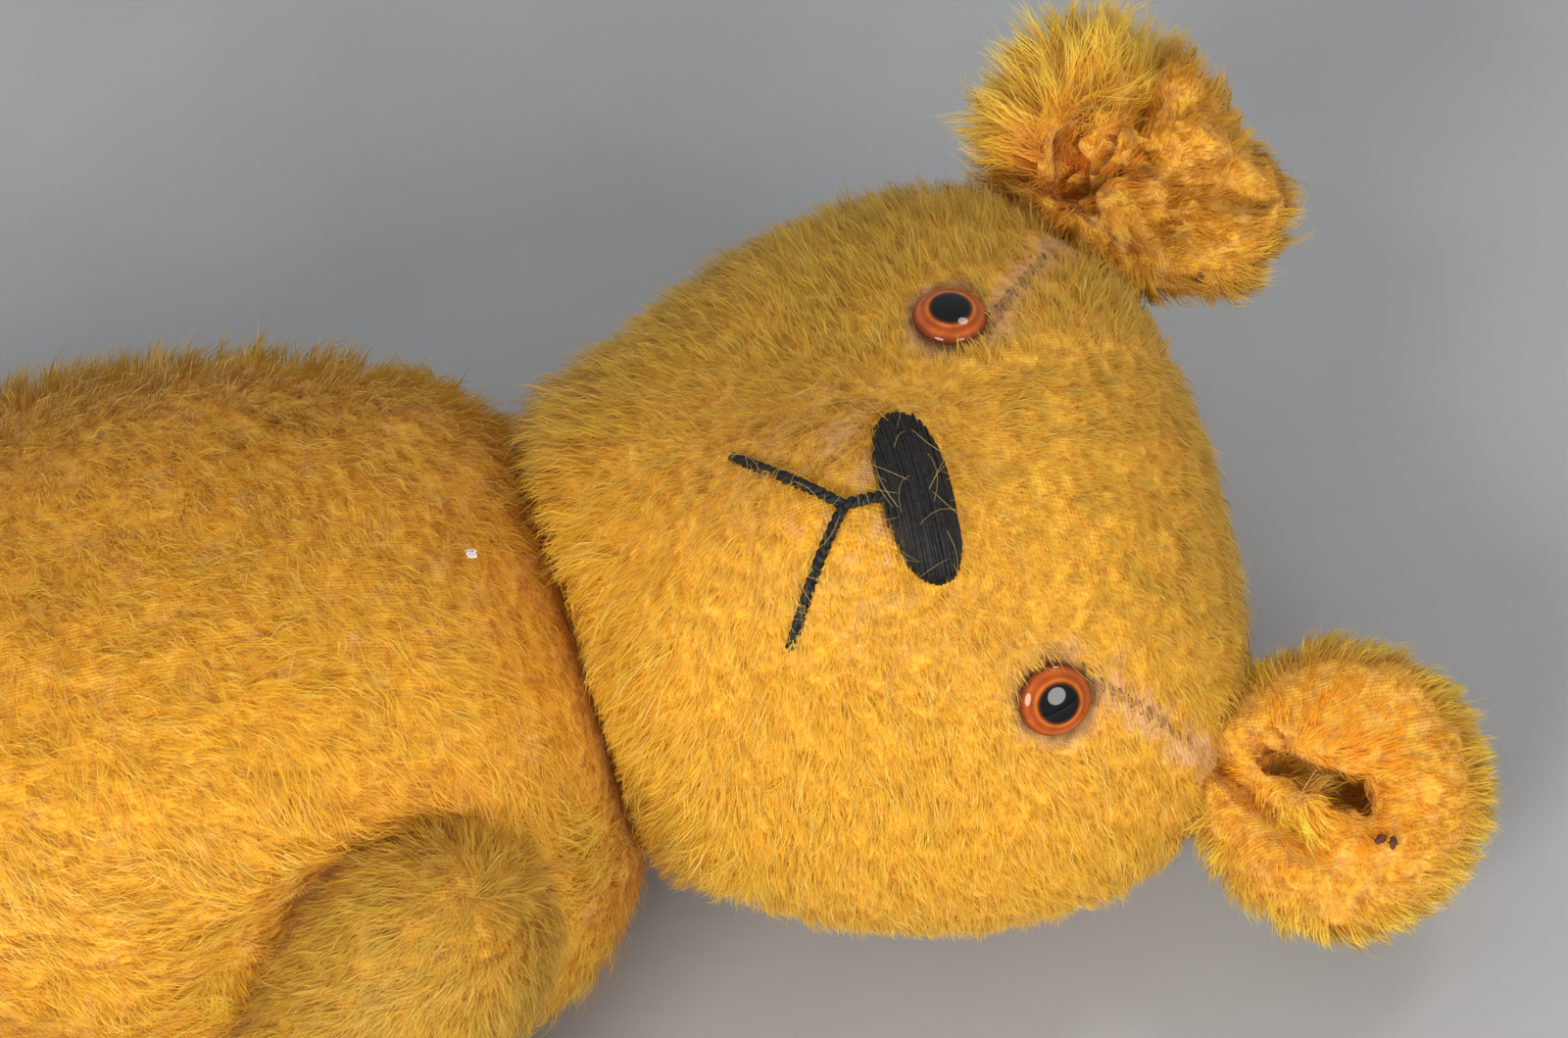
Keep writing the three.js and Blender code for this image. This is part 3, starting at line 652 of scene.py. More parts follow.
def bump(tree, shader, height, distance, strength=1.0):
    made = node(tree, "ShaderNodeBump")
    made.inputs["Strength"].default_value = strength
    made.inputs["Distance"].default_value = distance
    tree.links.new(height, made.inputs["Height"])
    tree.links.new(made.outputs["Normal"], shader.inputs["Normal"])


def weave_on(tree, pitch):
    """Over and under threads, at one pitch along three axes."""
    place = coords(tree)
    total = None
    for direction in "XYZ":
        wave = node(tree, "ShaderNodeTexWave", bands_direction=direction)
        wave.inputs["Scale"].default_value = 0.314 / pitch
        wave.inputs["Distortion"].default_value = 1.2
        wave.inputs["Detail"].default_value = 1.0
        wave.inputs["Detail Scale"].default_value = 2.0
        tree.links.new(place, wave.inputs["Vector"])
        if total is None:
            total = wave.outputs["Fac"]
        else:
            add = node(tree, "ShaderNodeMath", operation="ADD")
            tree.links.new(total, add.inputs[0])
            tree.links.new(wave.outputs["Fac"], add.inputs[1])
            total = add.outputs[0]
    return total


print("helpers ready for", len(frame["nodes"]), "packed nodes and the pieces made here")

# %% [markdown]
# Mohair cloth is a tan woven backing with silky goat hair standing in it. The bags wear
# the backing: a woven surface, stained orange by its dye, that goes pinkish tan where
# it is rubbed bare. The wear is an attribute on each vertex, so it follows the cloth.
# %% Backing cloth finish
THREAD_PITCH = 0.0007
DYED_CLOTH = [(0.3, (0.46, 0.17, 0.012)), (0.5, (0.72, 0.34, 0.022)), (0.72, (0.85, 0.50, 0.045))]
RUBBED_CLOTH = [(0.3, (0.42, 0.19, 0.07)), (0.5, (0.60, 0.31, 0.13)), (0.72, (0.74, 0.43, 0.20))]
SOIL = (0.10, 0.035, 0.012)
backing, tree, shader = finish_of("mohair_backing", (0.5, 0.25, 0.06), 0.9, specular=0.2, sheen=0.15)
grain = noise_on(tree, 420, 5, 0.6)
dyed = ramp(tree, grain, DYED_CLOTH)
worn = ramp(tree, grain, RUBBED_CLOTH)
bare = attribute(tree, "bare")
soil = attribute(tree, "soil")
colour = mix(tree, bare.outputs["Fac"], dyed, worn)
colour = mix(tree, soil.outputs["Fac"], colour, SOIL)
tree.links.new(colour, shader.inputs["Base Color"])
bump(tree, shader, weave_on(tree, THREAD_PITCH), 0.0002, 0.5)
print("backing has", len(tree.nodes), "nodes")

# %% [markdown]
# The hairs are smooth and silky, and light passes through them, which makes the pile glow
# where it is thin. Each hair carries its own colour, faint streaks run over all of them,
# and a translucent shader is mixed in. A hair shader would do this on curves, but the
# pile is mesh, so that it can be exported and measured as any other piece.
# %% Pile finish
LET_THROUGH = 0.38
pile, tree, shader = finish_of("mohair_pile", (0.9, 0.5, 0.05), 0.5, specular=0.3, sheen=0.15)
tone = attribute(tree, "pile_colour")
streak = ramp(tree, noise_on(tree, 300, 3, 0.6), [(0.3, (0.80, 0.78, 0.74)), (0.7, (1.0, 1.0, 1.0))])
hair_colour = mix(tree, 1.0, tone.outputs["Color"], streak, "MULTIPLY")
tree.links.new(hair_colour, shader.inputs["Base Color"])
through = node(tree, "ShaderNodeBsdfTranslucent")
tree.links.new(hair_colour, through.inputs["Color"])
blend = node(tree, "ShaderNodeMixShader")
blend.inputs[0].default_value = LET_THROUGH
tree.links.new(shader.outputs[0], blend.inputs[1])
tree.links.new(through.outputs[0], blend.inputs[2])
tree.links.new(blend.outputs[0], tree.nodes["Material Output"].inputs["Surface"])
print("pile has", len(tree.nodes), "nodes")

# %% [markdown]
# The smaller finishes: waxed black thread, rubbed felt, pressed fibreboard, dull steel
# and wood wool. The last three are out of sight inside the bear. A picture could be
# wrapped round each, but noise needs no map and never repeats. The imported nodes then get
# their finish by name.
# %% Small finishes
thread, tree, shader = finish_of("black_thread", (0.012, 0.011, 0.010), 0.55, specular=0.25)
mottle(tree, shader, 900, 3, 0.55, [(0.35, (0.004, 0.004, 0.004)), (0.7, (0.022, 0.019, 0.016))])
bump(tree, shader, noise_on(tree, 2600, 2), 0.0001, 0.5)

FELT_TONES = [(0.3, (0.26, 0.15, 0.07)), (0.55, (0.44, 0.29, 0.15)), (0.75, (0.56, 0.40, 0.23))]
felt, tree, shader = finish_of("worn_felt", (0.42, 0.25, 0.11), 0.95, specular=0.15, sheen=0.3)
mottle(tree, shader, 160, 8, 0.7, FELT_TONES)
bump(tree, shader, noise_on(tree, 1800, 6, 0.8), 0.0005, 0.9)

board, tree, shader = finish_of("pressed_fibreboard", (0.23, 0.13, 0.06), 0.8, specular=0.3)
mottle(tree, shader, 260, 8, 0.7, [(0.3, (0.15, 0.08, 0.04)), (0.7, (0.32, 0.20, 0.10))])
bump(tree, shader, noise_on(tree, 900, 4), 0.0003, 0.6)

STEEL_TONES = [(0.35, (0.22, 0.15, 0.10)), (0.55, (0.42, 0.40, 0.37)), (0.8, (0.52, 0.50, 0.47))]
steel, tree, shader = finish_of("dull_steel", (0.40, 0.38, 0.35), 0.38, metallic=1.0)
mottle(tree, shader, 300, 6, 0.55, STEEL_TONES)
dullness = ramp(tree, noise_on(tree, 500, 4), [(0.3, (0.3, 0.3, 0.3)), (0.7, (0.6, 0.6, 0.6))])
tree.links.new(dullness, shader.inputs["Roughness"])

WOOL_TONES = [(0.3, (0.30, 0.20, 0.08)), (0.6, (0.62, 0.48, 0.26)), (0.8, (0.76, 0.63, 0.40))]
wool, tree, shader = finish_of("wood_wool", (0.58, 0.44, 0.22), 0.85, specular=0.2)
mottle(tree, shader, 420, 8, 0.75, WOOL_TONES)
bump(tree, shader, noise_on(tree, 700, 6, 0.8), 0.0008, 1.0)


def cad_finish(node_name, material):
    mesh = frame["nodes"][node_name].data
    mesh.materials.clear()
    mesh.materials.append(material)


for name in frame["nodes"]:
    if "disc" in name:
        cad_finish(name, board)
    elif "washer" in name or "pin" in name or "shank" in name:
        cad_finish(name, steel)
    elif name.endswith("stuffing"):
        cad_finish(name, wool)
    elif "pad" in name:
        cad_finish(name, felt)
print("finishes of the packed nodes:", [material.name for material in (board, steel, wool, felt)])

# %% [markdown]
# The glass eyes are domes about 14 mm across, with a black pupil and an amber rim. Real
# ones are painted on the back of clear glass. Here the glass is one solid, because its
# colour is all that shows: a sphere whose upper half is a low dome and whose lower half
# is drawn in to a thin band. Its colour runs in rings by a distance attribute.
# %% Glass eyes
EYE = dict(up=82, side=36.5, radius=7.0, dome=2.9, band=0.7, lift=-0.1)
UNDERSIDE = -0.34  # below this height on the sphere, the eye is its flat back
# amber rings round a black pupil; the lighter ring just outside the pupil is painted light, the glow of
# light through the glass
EYE_RINGS = [
    (0.0, (0.002, 0.002, 0.003)),
    (0.49, (0.002, 0.002, 0.003)),
    (0.55, (0.08, 0.014, 0.003)),
    (0.63, (0.56, 0.14, 0.012)),
    (0.72, (0.30, 0.055, 0.006)),
    (0.86, (0.44, 0.095, 0.012)),
    (0.94, (0.22, 0.038, 0.008)),
    (1.0, (0.10, 0.022, 0.008)),
]
glass, tree, shader = finish_of("amber_glass", (0.5, 0.1, 0.02), 0.05, specular=0.3)
ring = attribute(tree, "ring")
rim = ramp(tree, ring.outputs["Fac"], EYE_RINGS)
cloud = ramp(tree, noise_on(tree, 350, 3), [(0.35, (0.72, 0.66, 0.60)), (0.65, (1.0, 1.0, 1.0))])
tree.links.new(mix(tree, 1.0, rim, cloud, "MULTIPLY"), shader.inputs["Base Color"])


def eye(name, side_):
    obj = sphere(name, 48, 36)
    co = coordinates(obj)
    reach = np.hypot(co[:, 0], co[:, 1])
    dome = EYE["band"] + EYE["dome"] * co[:, 2]
    band = EYE["band"] * (1 + np.maximum(co[:, 2] * 3, -1))
    h = np.where(co[:, 2] >= 0, dome, band)
    h = np.where(co[:, 2] < UNDERSIDE, 0.02 * reach, h)
    place, normal = face_point(np.array(EYE["up"]), np.array(side_ * EYE["side"]), EYE["lift"])
    across = unit(np.cross([1.0, 0, 0], normal))
    along_ = np.cross(normal, across)
    size = EYE["radius"] * np.where(co[:, 2] < 0, 1 - 0.12 * np.abs(co[:, 2]), 1)
    p = place + (co[:, :1] * along_ + co[:, 1:2] * across) * size[:, None] + h[:, None] * normal
    set_coordinates(obj, head_to_world(p) * MM)
    facing_out(obj)
    final = world_to_head(coordinates(obj) / MM)
    off = final - place
    flat = off - (off @ normal)[:, None] * normal
    ring_ = obj.data.attributes.new("ring", "FLOAT", "POINT")
    ring_.data.foreach_set("value", (np.linalg.norm(flat, axis=1) / EYE["radius"]).astype(np.float32))
    obj.data.materials.append(glass)
    only(obj)
    bpy.ops.object.shade_smooth()
    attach(obj, "head")
    return obj


eye_left = eye("eye_left_glass", -1)
eye_right = eye("eye_right_glass", 1)
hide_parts("eye_left")
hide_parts("eye_right")
print("eyes in mm:", [tuple(round(v / MM) for v in obj.bound_box[0]) for obj in (eye_left, eye_right)])


# %% [markdown]
# Thread is modelled as tubes along a path. Curve objects with a bevel would do, but one
# helper that sweeps a ring along many paths at once gives a radius at every point, closes
# both ends, and makes one clean mesh.
# %% Tubes for thread
def tubes(name, paths, radii, sides, material):
    """paths: (n, k, 3) in millimetres, radii: (n, k)."""
    paths, radii = np.asarray(paths, float), np.asarray(radii, float)
    n, k, _ = paths.shape
    way = unit(np.gradient(paths, axis=1))
    ref = np.where(np.abs(way[:, :1, 2:]) < 0.9, [[[0.0, 0, 1]]], [[[1.0, 0, 0]]])
    across = unit(np.cross(way, np.broadcast_to(ref, way.shape)))
    other = np.cross(way, across)
    turn = np.linspace(0, 2 * np.pi, sides, endpoint=False)
    cos_, sin_ = np.cos(turn)[None, None, :, None], np.sin(turn)[None, None, :, None]
    ring_ = across[:, :, None] * cos_ + other[:, :, None] * sin_
    body = (paths[:, :, None] + ring_ * radii[:, :, None, None]).reshape(n, k * sides, 3)
    ends = paths[:, [0, -1]]
    verts = np.concatenate([body, ends], 1).reshape(-1, 3)
    stride = k * sides + 2
    faces = []
    for i in range(n):
        base = i * stride
        for j in range(k - 1):
            for m in range(sides):
                a, b = base + j * sides + m, base + j * sides + (m + 1) % sides
                faces.append((a, b, b + sides, a + sides))
        for m in range(sides):
            nxt = (m + 1) % sides
            faces.append((base + nxt, base + m, base + k * sides))
            top = base + (k - 1) * sides
            faces.append((top + m, top + nxt, base + k * sides + 1))
    mesh = bpy.data.meshes.new(name)
    mesh.from_pydata((verts * MM).tolist(), [], faces)
    mesh.materials.append(material)
    obj = bpy.data.objects.new(name, mesh)
    bpy.context.scene.collection.objects.link(obj)
    facing_out(obj)
    bpy.ops.object.shade_smooth()
    return obj


print("tubes can be swept in", [material.name for material in (thread, pile)])

# %% [markdown]
# The nose is satin stitch: long straight stitches of black thread laid side by side from
# end to end over a small pad, not quite parallel. A painted oval would look flat this
# close, so every stitch is a tube of its own, in two layers.
# %% Nose
NOSE = dict(up=67.6, side=2.2, half_width=16.0, half_height=5.7)
STITCHES, POINTS, THREAD_RADIUS = 34, 21, 0.31
rng = np.random.default_rng(21)
rows = np.linspace(-1, 1, STITCHES)
t = np.linspace(-1, 1, POINTS)
paths, radii = [], []
for layer in (0, 1):
    for row in rows:
        half = (1 - abs(0.97 * row) ** 2.5) ** (1 / 2.5) * (1 + rng.normal() * 0.01)
        lean = rng.normal() * 0.035
        upto = row + lean * t + 0.015 * rng.normal()
        pad = np.sqrt(np.maximum(0, 1 - (t * 0.97) ** 2)) * np.sqrt(max(0.05, 1 - (row * 0.92) ** 2))
        lift = 0.1 + 1.5 * pad + 0.22 * layer + 0.12 * rng.normal() * (1 - t * t)
        along_row = NOSE["side"] + NOSE["half_width"] * half * t
        place, _ = face_point(NOSE["up"] + NOSE["half_height"] * upto, along_row, lift)
        paths.append(place)
        radii.append(np.full(POINTS, THREAD_RADIUS) * (0.75 + 0.25 * np.sqrt(1 - t**4)))
nose = tubes("nose_satin_stitch", head_to_world(np.array(paths)), radii, 7, thread)
print("nose faces:", len(nose.data.polygons))

# %% [markdown]
# The mouth is three single stitches of a two-ply twisted thread, which meet under the
# nose. Each ply is a helix round the stitch's line, because the twist shows from here.
# The ends of each stitch dive into the cloth.
# %% Mouth
MOUTH = dict(join=(55.0, 1.6), right=(36.6, 19.2), left=(38.2, -18.8), lift=0.45)


def twisted(start, end, pitch=3.6, apart=0.48, ply=0.66, points=56):
    """Two plies of one stitch, and their radii, between two places on the face."""
    s = np.linspace(0, 1, points)
    up_, side = start[0] + (end[0] - start[0]) * s, start[1] + (end[1] - start[1]) * s
    place, normal = face_point(up_, side, MOUTH["lift"])
    way = unit(np.gradient(place, axis=0))
    cross_ = np.cross(way, normal)
    run = np.concatenate([[0], np.cumsum(np.linalg.norm(np.diff(place, axis=0), axis=1))])
    tuck = np.minimum(1, np.minimum(s, 1 - s) * 14)
    out_, rad_ = [], []
    for phase in (0, np.pi):
        turn = 2 * np.pi * run / pitch + phase
        p = place + apart * (np.cos(turn)[:, None] * cross_ + np.sin(turn)[:, None] * normal)
        out_.append(p - normal * ((1 - tuck) * 1.6)[:, None])
        rad_.append(ply * (0.55 + 0.45 * tuck))
    return out_, rad_


join_up, join_side = MOUTH["join"]
under_nose = (NOSE["up"] - NOSE["half_height"] + 0.6, NOSE["side"])
mouth_paths, mouth_radii = [], []
for start, end in (
    (under_nose, (join_up - 0.6, join_side)),
    ((join_up + 0.7, join_side - 0.7), MOUTH["right"]),
    ((join_up + 0.7, join_side + 0.7), MOUTH["left"]),
):
    p, r = twisted(start, end)
    mouth_paths += p
    mouth_radii += r
mouth = tubes("mouth_twisted_thread", head_to_world(np.array(mouth_paths)), mouth_radii, 10, thread)
for obj, cad in ((nose, "nose_stitching"), (mouth, "mouth_stitching")):
    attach(obj, "head")
    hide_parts(cad)
print("mouth faces:", len(mouth.data.polygons))


# %% [markdown]
# Where the bear has been rubbed, the backing shows. These masks say how bare and how
# soiled the cloth is at any place: along the seams from the eyes to the ears, round the
# eyes, on the muzzle, and inside the ears. They could be painted by hand, but written as
# rules they also thin the pile later, so that bare cloth and missing hair agree.
# %% Wear masks
SEAM_START, SEAM_END = np.array([88.0, 33.0]), np.array([108.0, 52.0])


def seam_distance(p):
    """Distance, over the face, from the gusset seams between the eyes and the ears."""
    flat = np.stack([p[:, 0], np.abs(p[:, 1])], 1)
    line = SEAM_END - SEAM_START
    t_ = np.clip(((flat - SEAM_START) @ line) / (line @ line), 0, 1)
    gap = np.linalg.norm(flat - SEAM_START - t_[:, None] * line, axis=1)
    return np.where(p[:, 2] > 0, gap, 99)


def head_wear(w):
    p = world_to_head(w)
    seam = seam_distance(p)
    front_ = p[:, 2] > 10
    eye_gap = np.hypot(p[:, 0] - EYE["up"], np.abs(p[:, 1]) - EYE["side"])
    eye_gap = np.where(front_, eye_gap, 99)
    on_muzzle = np.where(front_, np.exp(-((p[:, 1] / 26) ** 2) - ((p[:, 0] - 56) / 20) ** 2), 0)
    fleck = patches(w, 6.5, 31) + 0.6 * patches(w, 2.6, 32)
    bare_ = 0.95 * (1 - smoothstep(2.2, 6.0, seam + 1.5 * fleck))
    bare_ = np.maximum(bare_, 0.7 * (1 - smoothstep(7.5, 10.5, eye_gap + 0.8 * fleck)))
    bare_ = np.maximum(bare_, on_muzzle * smoothstep(0.1, 1.3, fleck) * 0.9)
    soil_ = 0.8 * (1 - smoothstep(6.2, 9.4, eye_gap + 0.5 * fleck))
    soil_ = np.maximum(soil_, 0.5 * (1 - smoothstep(0.2, 0.9, seam)))
    return np.clip(bare_, 0, 1), np.clip(soil_, 0, 1)


def wear(obj, rule):
    bare_, soil_ = rule(coordinates(obj) / MM)
    for name_, values in (("bare", bare_), ("soil", soil_)):
        made = obj.data.attributes.new(name_, "FLOAT", "POINT")
        made.data.foreach_set("value", np.asarray(values, np.float32))
    obj.data.materials.clear()
    obj.data.materials.append(backing)


def body_wear(w):
    fleck = patches(w, 9, 41) + 0.5 * patches(w, 3, 42)
    return 0.5 * smoothstep(0.5, 1.8, fleck), 0.12 * smoothstep(-1, 1, patches(w, 14, 43))


def arm_wear(w):
    bare_, soil_ = body_wear(w)
    return bare_, soil_ + 0.22


def ear_wear(w):
    p = world_to_head(w)
    fleck = patches(w, 5, 51) + 0.6 * patches(w, 2, 52)
    return np.clip(0.08 + 0.18 * fleck, 0, 0.4) * (p[:, 2] > -8), np.full(len(w), 0.14)


WORN = (
    (head, head_wear),
    (torso, body_wear),
    (leg_left, body_wear),
    (leg_right, body_wear),
    (arm_left, arm_wear),
    (arm_right, arm_wear),
    (ear_left, ear_wear),
    (ear_right, ear_wear),
)
for bag, rule in WORN:
    wear(bag, rule)
print("wear painted on", len(WORN), "bags")

# %% [markdown]
# The mohair is golden, but no two places are the same gold. Deep orange comes in soft
# random patches and is painted shade in the creases. Olive is painted shade on the far side
# and the forehead, and a darker tone on the limbs. The lit tip is painted light, and single
# hairs are pale. Each hair gets a root and a tip colour of its own from these few tones.
# %% Colours of the pile
GOLD_TIP = np.array([0.95, 0.64, 0.050])
GOLD_ROOT = np.array([0.82, 0.42, 0.020])
PALE_TIP = np.array([0.98, 0.82, 0.28])
# deep orange: random soft patches, and painted shade in the creases
DEEP_ORANGE = np.array([0.88, 0.36, 0.006])
# a lit tip colour: painted light
LIT_TIP = np.array([1.0, 0.82, 0.12])
RUSSET = np.array([0.92, 0.24, 0.012])
# olive: painted shade on the far side and the forehead, and the darker tone of the limbs
OLIVE = np.array([0.46, 0.32, 0.050])


def golden(w, rng_, shade=0.0, orange=0.0):
    """Root and tip colours: golden, with soft orange patches and pale strays; shade blends towards olive,
    orange towards deep orange.
    """
    count = len(w)
    patch = smoothstep(-1.2, 1.6, patches(w, 28, 71) + 0.5 * patches(w, 9, 72))[:, None]
    tip_ = GOLD_TIP * (1 - 0.30 * patch) + (DEEP_ORANGE * 0.5 + GOLD_TIP * 0.5) * 0.30 * patch
    pale = (rng_.uniform(size=(count, 1)) < 0.2) * rng_.uniform(0.3, 1.0, (count, 1))
    tip_ = tip_ * (1 - pale) + PALE_TIP * pale
    shade_, orange_ = (np.broadcast_to(x, (count,))[:, None] for x in (shade, orange))
    tip_ = tip_ * (1 - shade_) + OLIVE * shade_
    tip_ = tip_ * (1 - orange_) + DEEP_ORANGE * orange_
    root_ = GOLD_ROOT * (1 - orange_) + DEEP_ORANGE * 0.9 * orange_
    root_ = root_ * (1 - 0.5 * shade_) + OLIVE * 0.5 * shade_
    value = np.exp(0.09 * rng_.normal(size=(count, 1)))
    return root_ * value, tip_ * value


def flecks(w):
    """Small gaps between the wisps, a few millimetres apart."""
    return smoothstep(0.5, 1.5, patches(w, 4.2, 84) + 0.6 * patches(w, 9, 85))


print("gold from root to tip:", GOLD_ROOT, GOLD_TIP)

# %% [markdown]
# Hairs need places to grow from, spread evenly over a bag or more densely where a rule
# says so. Triangles are drawn by their area times that rule, and a place inside each is
# drawn at random. Blender's own scatter does the same, but not with a rule in code.
# %% Places on a bag
def surface_points(obj, count, rng_, weight):
    """Random places on a mesh, in millimetres, and where the cloth faces there."""
    mesh = obj.data
    mesh.calc_loop_triangles()
    corner = np.zeros(len(mesh.loop_triangles) * 3, np.int64)
    mesh.loop_triangles.foreach_get("vertices", corner)
    corner = corner.reshape(-1, 3)
    co = coordinates(obj) / MM
    normal = np.zeros(len(co) * 3)
    mesh.vertices.foreach_get("normal", normal)
    normal = normal.reshape(-1, 3)
    a, b, c = co[corner[:, 0]], co[corner[:, 1]], co[corner[:, 2]]
    area = np.linalg.norm(np.cross(b - a, c - a), axis=1) / 2
    chance = area * weight((a + b + c) / 3, unit(normal[corner].sum(1)))
    pick = np.searchsorted(np.cumsum(chance) / chance.sum(), rng_.uniform(size=count))
    u, v = rng_.uniform(size=(2, count))
    over = u + v > 1
    u, v = np.where(over, 1 - u, u), np.where(over, 1 - v, v)
    w = np.stack([1 - u - v, u, v], 1)[..., None]
    return (co[corner[pick]] * w).sum(1), unit((normal[corner[pick]] * w).sum(1))


def spin(vector, axis_, angle_):
    """Turns each vector about its own axis."""
    c, s = np.cos(angle_)[:, None], np.sin(angle_)[:, None]
    along_axis = axis_ * (vector * axis_).sum(1, keepdims=True)
    return vector * c + np.cross(axis_, vector) * s + along_axis * (1 - c)


print("torso cloth to grow on: %.3f square metres" % sum(face.area for face in torso.data.polygons))

# %% [markdown]
# Old mohair stands in wisps, a few hairs whose tips lean together. Particle hair could be
# combed like this, but it isn't mesh, and the comb isn't code. Here each wisp first gets
# a middle, a lie, a length and a lift. Its hairs start around the middle, stray from the
# lie a little, and are then pulled towards the tip of the wisp.
# %% Hairs in wisps
def grow(bag, count, wisp, style, rng_, spread, stray, gather, short):
    """Roots, tips and normals of hairs that stand in wisps."""
    root, normal = surface_points(bag, count // wisp, rng_, style["weight"])
    lie = style["lie"](root, normal)
    lie = unit(lie - (lie * normal).sum(1, keepdims=True) * normal)
    lie = spin(lie, normal, rng_.normal(size=len(root)) * style.get("stray", 0.3))
    length = style["length"](root, normal) * np.exp(rng_.normal(size=len(root)) * 0.15) * short
    lift = np.clip(style["lift"](root, normal) + rng_.normal(size=len(root)) * 0.10, 0.08, 1.5)
    tip = root + length[:, None] * (np.cos(lift)[:, None] * lie + np.sin(lift)[:, None] * normal)
    who = np.repeat(np.arange(len(root)), wisp)
    n = len(who)
    off = rng_.normal(size=(n, 2)) * spread
    own = root[who] + off[:, :1] * lie[who] + off[:, 1:] * np.cross(normal, lie)[who]
    way = spin(lie[who], normal[who], rng_.normal(size=n) * stray)
    reach = length[who] * np.exp(rng_.normal(size=n) * 0.16)
    rise = np.clip(lift[who] + rng_.normal(size=n) * 0.16, 0.05, 1.5)
    end = own + reach[:, None] * (np.cos(rise)[:, None] * way + np.sin(rise)[:, None] * normal[who])
    pull = np.clip(gather + 0.18 * rng_.normal(size=n), 0, 0.9)[:, None]
    end = end * (1 - pull) + (tip[who] + 0.25 * (end - tip[who])) * pull
    keep = rng_.uniform(size=n) < style["keep"](own, normal[who])
    return own[keep], end[keep], normal[who][keep]


LONG_WISP, SHORT_WISP = 7, 5
print("a wisp has", LONG_WISP, "long or", SHORT_WISP, "short hairs, unless its style says more")

# %% [markdown]
# The pile itself is real geometry. The long hairs are narrow ribbons of two steps that
# taper to a point, and between them grow short straight hairs of one thin triangle each.
# Round hairs would need many more triangles and look the same from here. Hairs that would
# pass a joint or the table are held back by the bag's own trim. The mesh is filled from
# whole arrays, which takes seconds where single faces would take minutes.
# %% Laying the pile
def hair_corners(root, tip, normal, width, rng_):
    """Five corners for each hair: two at the root, two half way, one at the tip."""
    n = len(root)
    reach = tip - root
    size = np.linalg.norm(reach, axis=1, keepdims=True)
    way = unit(reach)
    side_ = spin(unit(np.cross(way, normal)), way, rng_.normal(size=n) * 0.5)
    flat = np.cross(side_, way)
    away = (flat * normal).sum(1, keepdims=True) < 0
    side_, flat = np.where(away, -side_, side_), np.where(away, -flat, flat)
    half = width * np.exp(rng_.normal(size=n) * 0.22)[:, None] / 2
    base = root - normal * 0.25
    bow = normal * size * (0.13 + 0.06 * rng_.normal(size=(n, 1)))
    bow = bow + side_ * size * 0.06 * rng_.normal(size=(n, 1))
    middle = root + 0.48 * reach + bow
    low = [base - side_ * half, base + side_ * half]
    high = [middle + side_ * half * 0.8, middle - side_ * half * 0.8]
    return np.stack([*low, *high, tip], 1), flat


def long_then_short(per_corner, n_long):
    """One row for each point of the mesh: five for a long hair, three for a short one."""
    long_, short_ = per_corner[:n_long], per_corner[n_long:, [0, 1, 4]]
    return np.vstack([long_.reshape(-1, 3), short_.reshape(-1, 3)])


